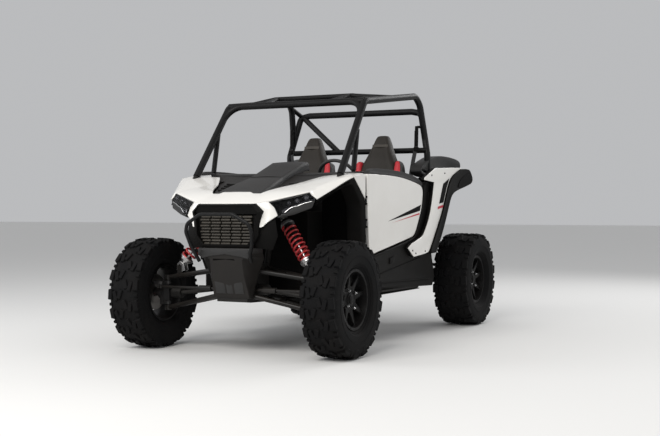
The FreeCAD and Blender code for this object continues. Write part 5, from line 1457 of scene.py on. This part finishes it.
def buildCageCorners():
    bm = bmesh.new()
    corner, down, across = (mm(*cornerSettings[name]) for name in ("corner", "down", "across"))
    line = []
    for number in range(cornerSettings["steps"] + 1):
        share = number / cornerSettings["steps"]
        line.append(down * (1 - share) ** 2 + corner * (2 * share * (1 - share)) + across * share ** 2)
    for start, end in zip(line, line[1:]):
        rodBetween(bm, start, end, cornerSettings["radius"], 20)
    finishPair("cageCorners", bm, "cageSteel")


buildCageCorners()
print("cage corners")

rearSettings = {
    "gate": (440, 948, 1130, 1111.5),       # half width, low, high and depth of the tailgate's outer face
    "gateRibs": (980, 1014, 1048),
    "gateBolts": ((-420, 960), (420, 960), (-420, 1118), (420, 1118)),
    "railX": (500, 482),                    # a side rail of the bed and the inner bar of its hooks
    "railHeight": (1148, 1152, 1128),       # the rail, then the top and foot of a hook
    "hooks": (690, 1030),
    "hookHalf": 28,
    "tailBars": (1058, 1072, 1086),
    "bands": (-252, -200, 200, 252),
    "shieldReach": (-180, -60, 60, 180),
    "shieldTurn": (-0.12, -2.3),            # where the shield starts round the can, and how far it goes
    "shieldRibs": 7,
    "coverBolts": 10,
    "fins": (8, 618, 16),                   # count, first height and pitch
    "floor": (405, 90, 640, 1090, 940),     # ribs reach, spacing, front, back and height of the bed floor
    "can": (1326, 748, 88, 260),            # silencer's y, z, radius and half length
    "covers": ((1, 613, 507, 112), (1, 831, 524, 124), (-1, 717, 489, 96)),
}


def buildBedDetails():
    half, low, high, y = rearSettings["gate"]
    bm = plateOf(frontPlate(-half, half, low, high, y), (0, 7, 0), 0.004, 2)
    for z in rearSettings["gateRibs"]:
        plateOf(((40 - half, y + 7, z), (half - 40, y + 7, z), (half - 52, y + 7, z + 14),
                 (52 - half, y + 7, z + 14)), (0, 5, 0), 0.002, 2, bm)
    plateOf(((-70, y + 6, 1084), (70, y + 6, 1084), (62, y + 6, 1114), (-62, y + 6, 1114)), (0, 10, 0),
            0.003, 2, bm)
    # side rails with tie hooks, and the hinges under the gate
    level, upper, lower = rearSettings["railHeight"]
    for side in (-1, 1):
        rail, bar = (side * x for x in rearSettings["railX"])
        rodBetween(bm, mm(rail, 606, level), mm(rail, 1100, level), 0.009)
        rodBetween(bm, mm(side * 380, y + 3, 942), mm(side * 300, y + 3, 942), 0.008)
        for place in rearSettings["hooks"]:
            near, far = place - rearSettings["hookHalf"], place + rearSettings["hookHalf"]
            feet = [mm(bar, near, lower), mm(bar, far, lower)]
            for start, end in ((mm(rail, near, upper), feet[0]), (mm(rail, far, upper), feet[1]), feet):
                rodBetween(bm, start, end, 0.005, 10)
    reach, gap, front, back, top = rearSettings["floor"]
    for number in range(-(reach // gap), reach // gap + 1):
        x = number * gap
        plateOf(levelPlate(x - 16, x + 16, front, back, top), (0, 0, 5), 0.0015, 1, bm)
    finishPiece("bedDetails", bm, "charcoalPlastic")
    bm = plateOf(frontPlate(-26, 26, 1092, 1106, y + 16), (0, 4, 0), 0.001, 1)
    for x, z in rearSettings["gateBolts"]:
        rodBetween(bm, mm(x, y + 5, z), mm(x, y + 11, z), 0.007, 6)
    finishPiece("gateLatch", bm, "shaftSteel")
    # dark surrounds and red reflector bars of the tail lights
    bm = plateOf(frontPlate(455, 540, 1043, 1105, y + 1), (0, 14, 0), 0.003, 2)
    finishPair("tailSurrounds", bm, "blackPlastic")
    bm = bmesh.new()
    for z in rearSettings["tailBars"]:
        plateOf(frontPlate(468, 528, z, z + 6, 1134.6), (0, 1.6, 0), 0.0005, 1, bm)
    finishPair("tailBars", bm, "tailLens")


def buildExhaustDetails():
    y, z, radius, half = rearSettings["can"]
    bm = bmesh.new()
    for x in rearSettings["bands"]:
        rodBetween(bm, mm(x - 7, y, z), mm(x + 7, y, z), (radius + 2) / 1000, 64)
    for x in (-half, half):
        rodBetween(bm, mm(x - 4, y, z), mm(x + 4, y, z), radius * 0.82 / 1000, 48)
    rodBetween(bm, mm(-150, y + 60, z - 10), mm(-150, y + 112, z - 28), 0.026, 32)
    piece = finishPiece("exhaustBands", bm, "brightSteel")
    shapeUp(piece, bevel=0.002)
    # pressed shield over the back of the can, with raised ribs across it
    bm = bmesh.new()
    line = [bm.verts.new(mm(x, y, z + radius + 9)) for x in rearSettings["shieldReach"]]
    edges = [bm.edges.new(pair) for pair in zip(line, line[1:])]
    first, sweep = rearSettings["shieldTurn"]
    bmesh.ops.rotate(bm, cent=mm(0, y, z), matrix=Matrix.Rotation(first, 3, "X"), verts=line)
    bmesh.ops.spin(bm, geom=line + edges, cent=mm(0, y, z), axis=(1, 0, 0), dvec=(0, 0, 0), angle=sweep,
                   steps=20, use_merge=False, use_duplicate=False)
    turnUp(bm, (0, 1, 0.3))
    piece = finishPiece("exhaustShield", bm, "exhaustSteel")
    shapeUp(piece, 0, 0.003, 0.001)
    bm = bmesh.new()
    rib = asMesh(softBlock((0.30, 0.010, 0.007), (0.97, 0.6), 0.0015), "rib")
    for number in range(rearSettings["shieldRibs"]):
        addCopy(bm, rib, Matrix.Translation(mm(0, y, z)) @ Matrix.Rotation(-0.35 - number * 0.27, 4, "X")
                @ Matrix.Translation((0, 0, (radius + 10) / 1000)))
    finishPiece("exhaustRibs", bm, "exhaustSteel")


def buildEngineDetails():
    bm, metal = bmesh.new(), bmesh.new()
    # round side covers, each with bolts near its edge and ribs between them and the middle
    for side, y, z, radius in rearSettings["covers"]:
        radius /= 1000
        face = side * 250
        for share in (0.96, 0.5):
            rodBetween(bm, mm(face - side * 12, y, z), mm(face + side * 5, y, z), radius * share, 48,
                       radius * share * 0.96)
        for number in range(rearSettings["coverBolts"]):
            angle = 2 * math.pi * number / rearSettings["coverBolts"]
            out = Vector((0, math.cos(angle), math.sin(angle))) * radius
            spot = mm(face, y, z) + out * 0.84
            rodBetween(metal, spot, spot + Vector((side * 0.010, 0, 0)), 0.006, 6)
            foot = mm(face + side * 4, y, z)
            rodBetween(bm, foot + out * 0.54, foot + out * 0.78, 0.0045, 8)
    # cooling fins round the cylinder head
    count, first, pitch = rearSettings["fins"]
    for number in range(count):
        plateOf(levelPlate(-172, 172, 606, 984, first + number * pitch), (0, 0, 5), 0.0015, 1, bm)
    bmesh.ops.recalc_face_normals(bm, faces=bm.faces)
    finishPiece("engineCovers", bm, "engineCasting")
    finishPiece("engineBolts", metal, "brightSteel")


buildBedDetails()
buildExhaustDetails()
buildEngineDetails()
print("rear details")
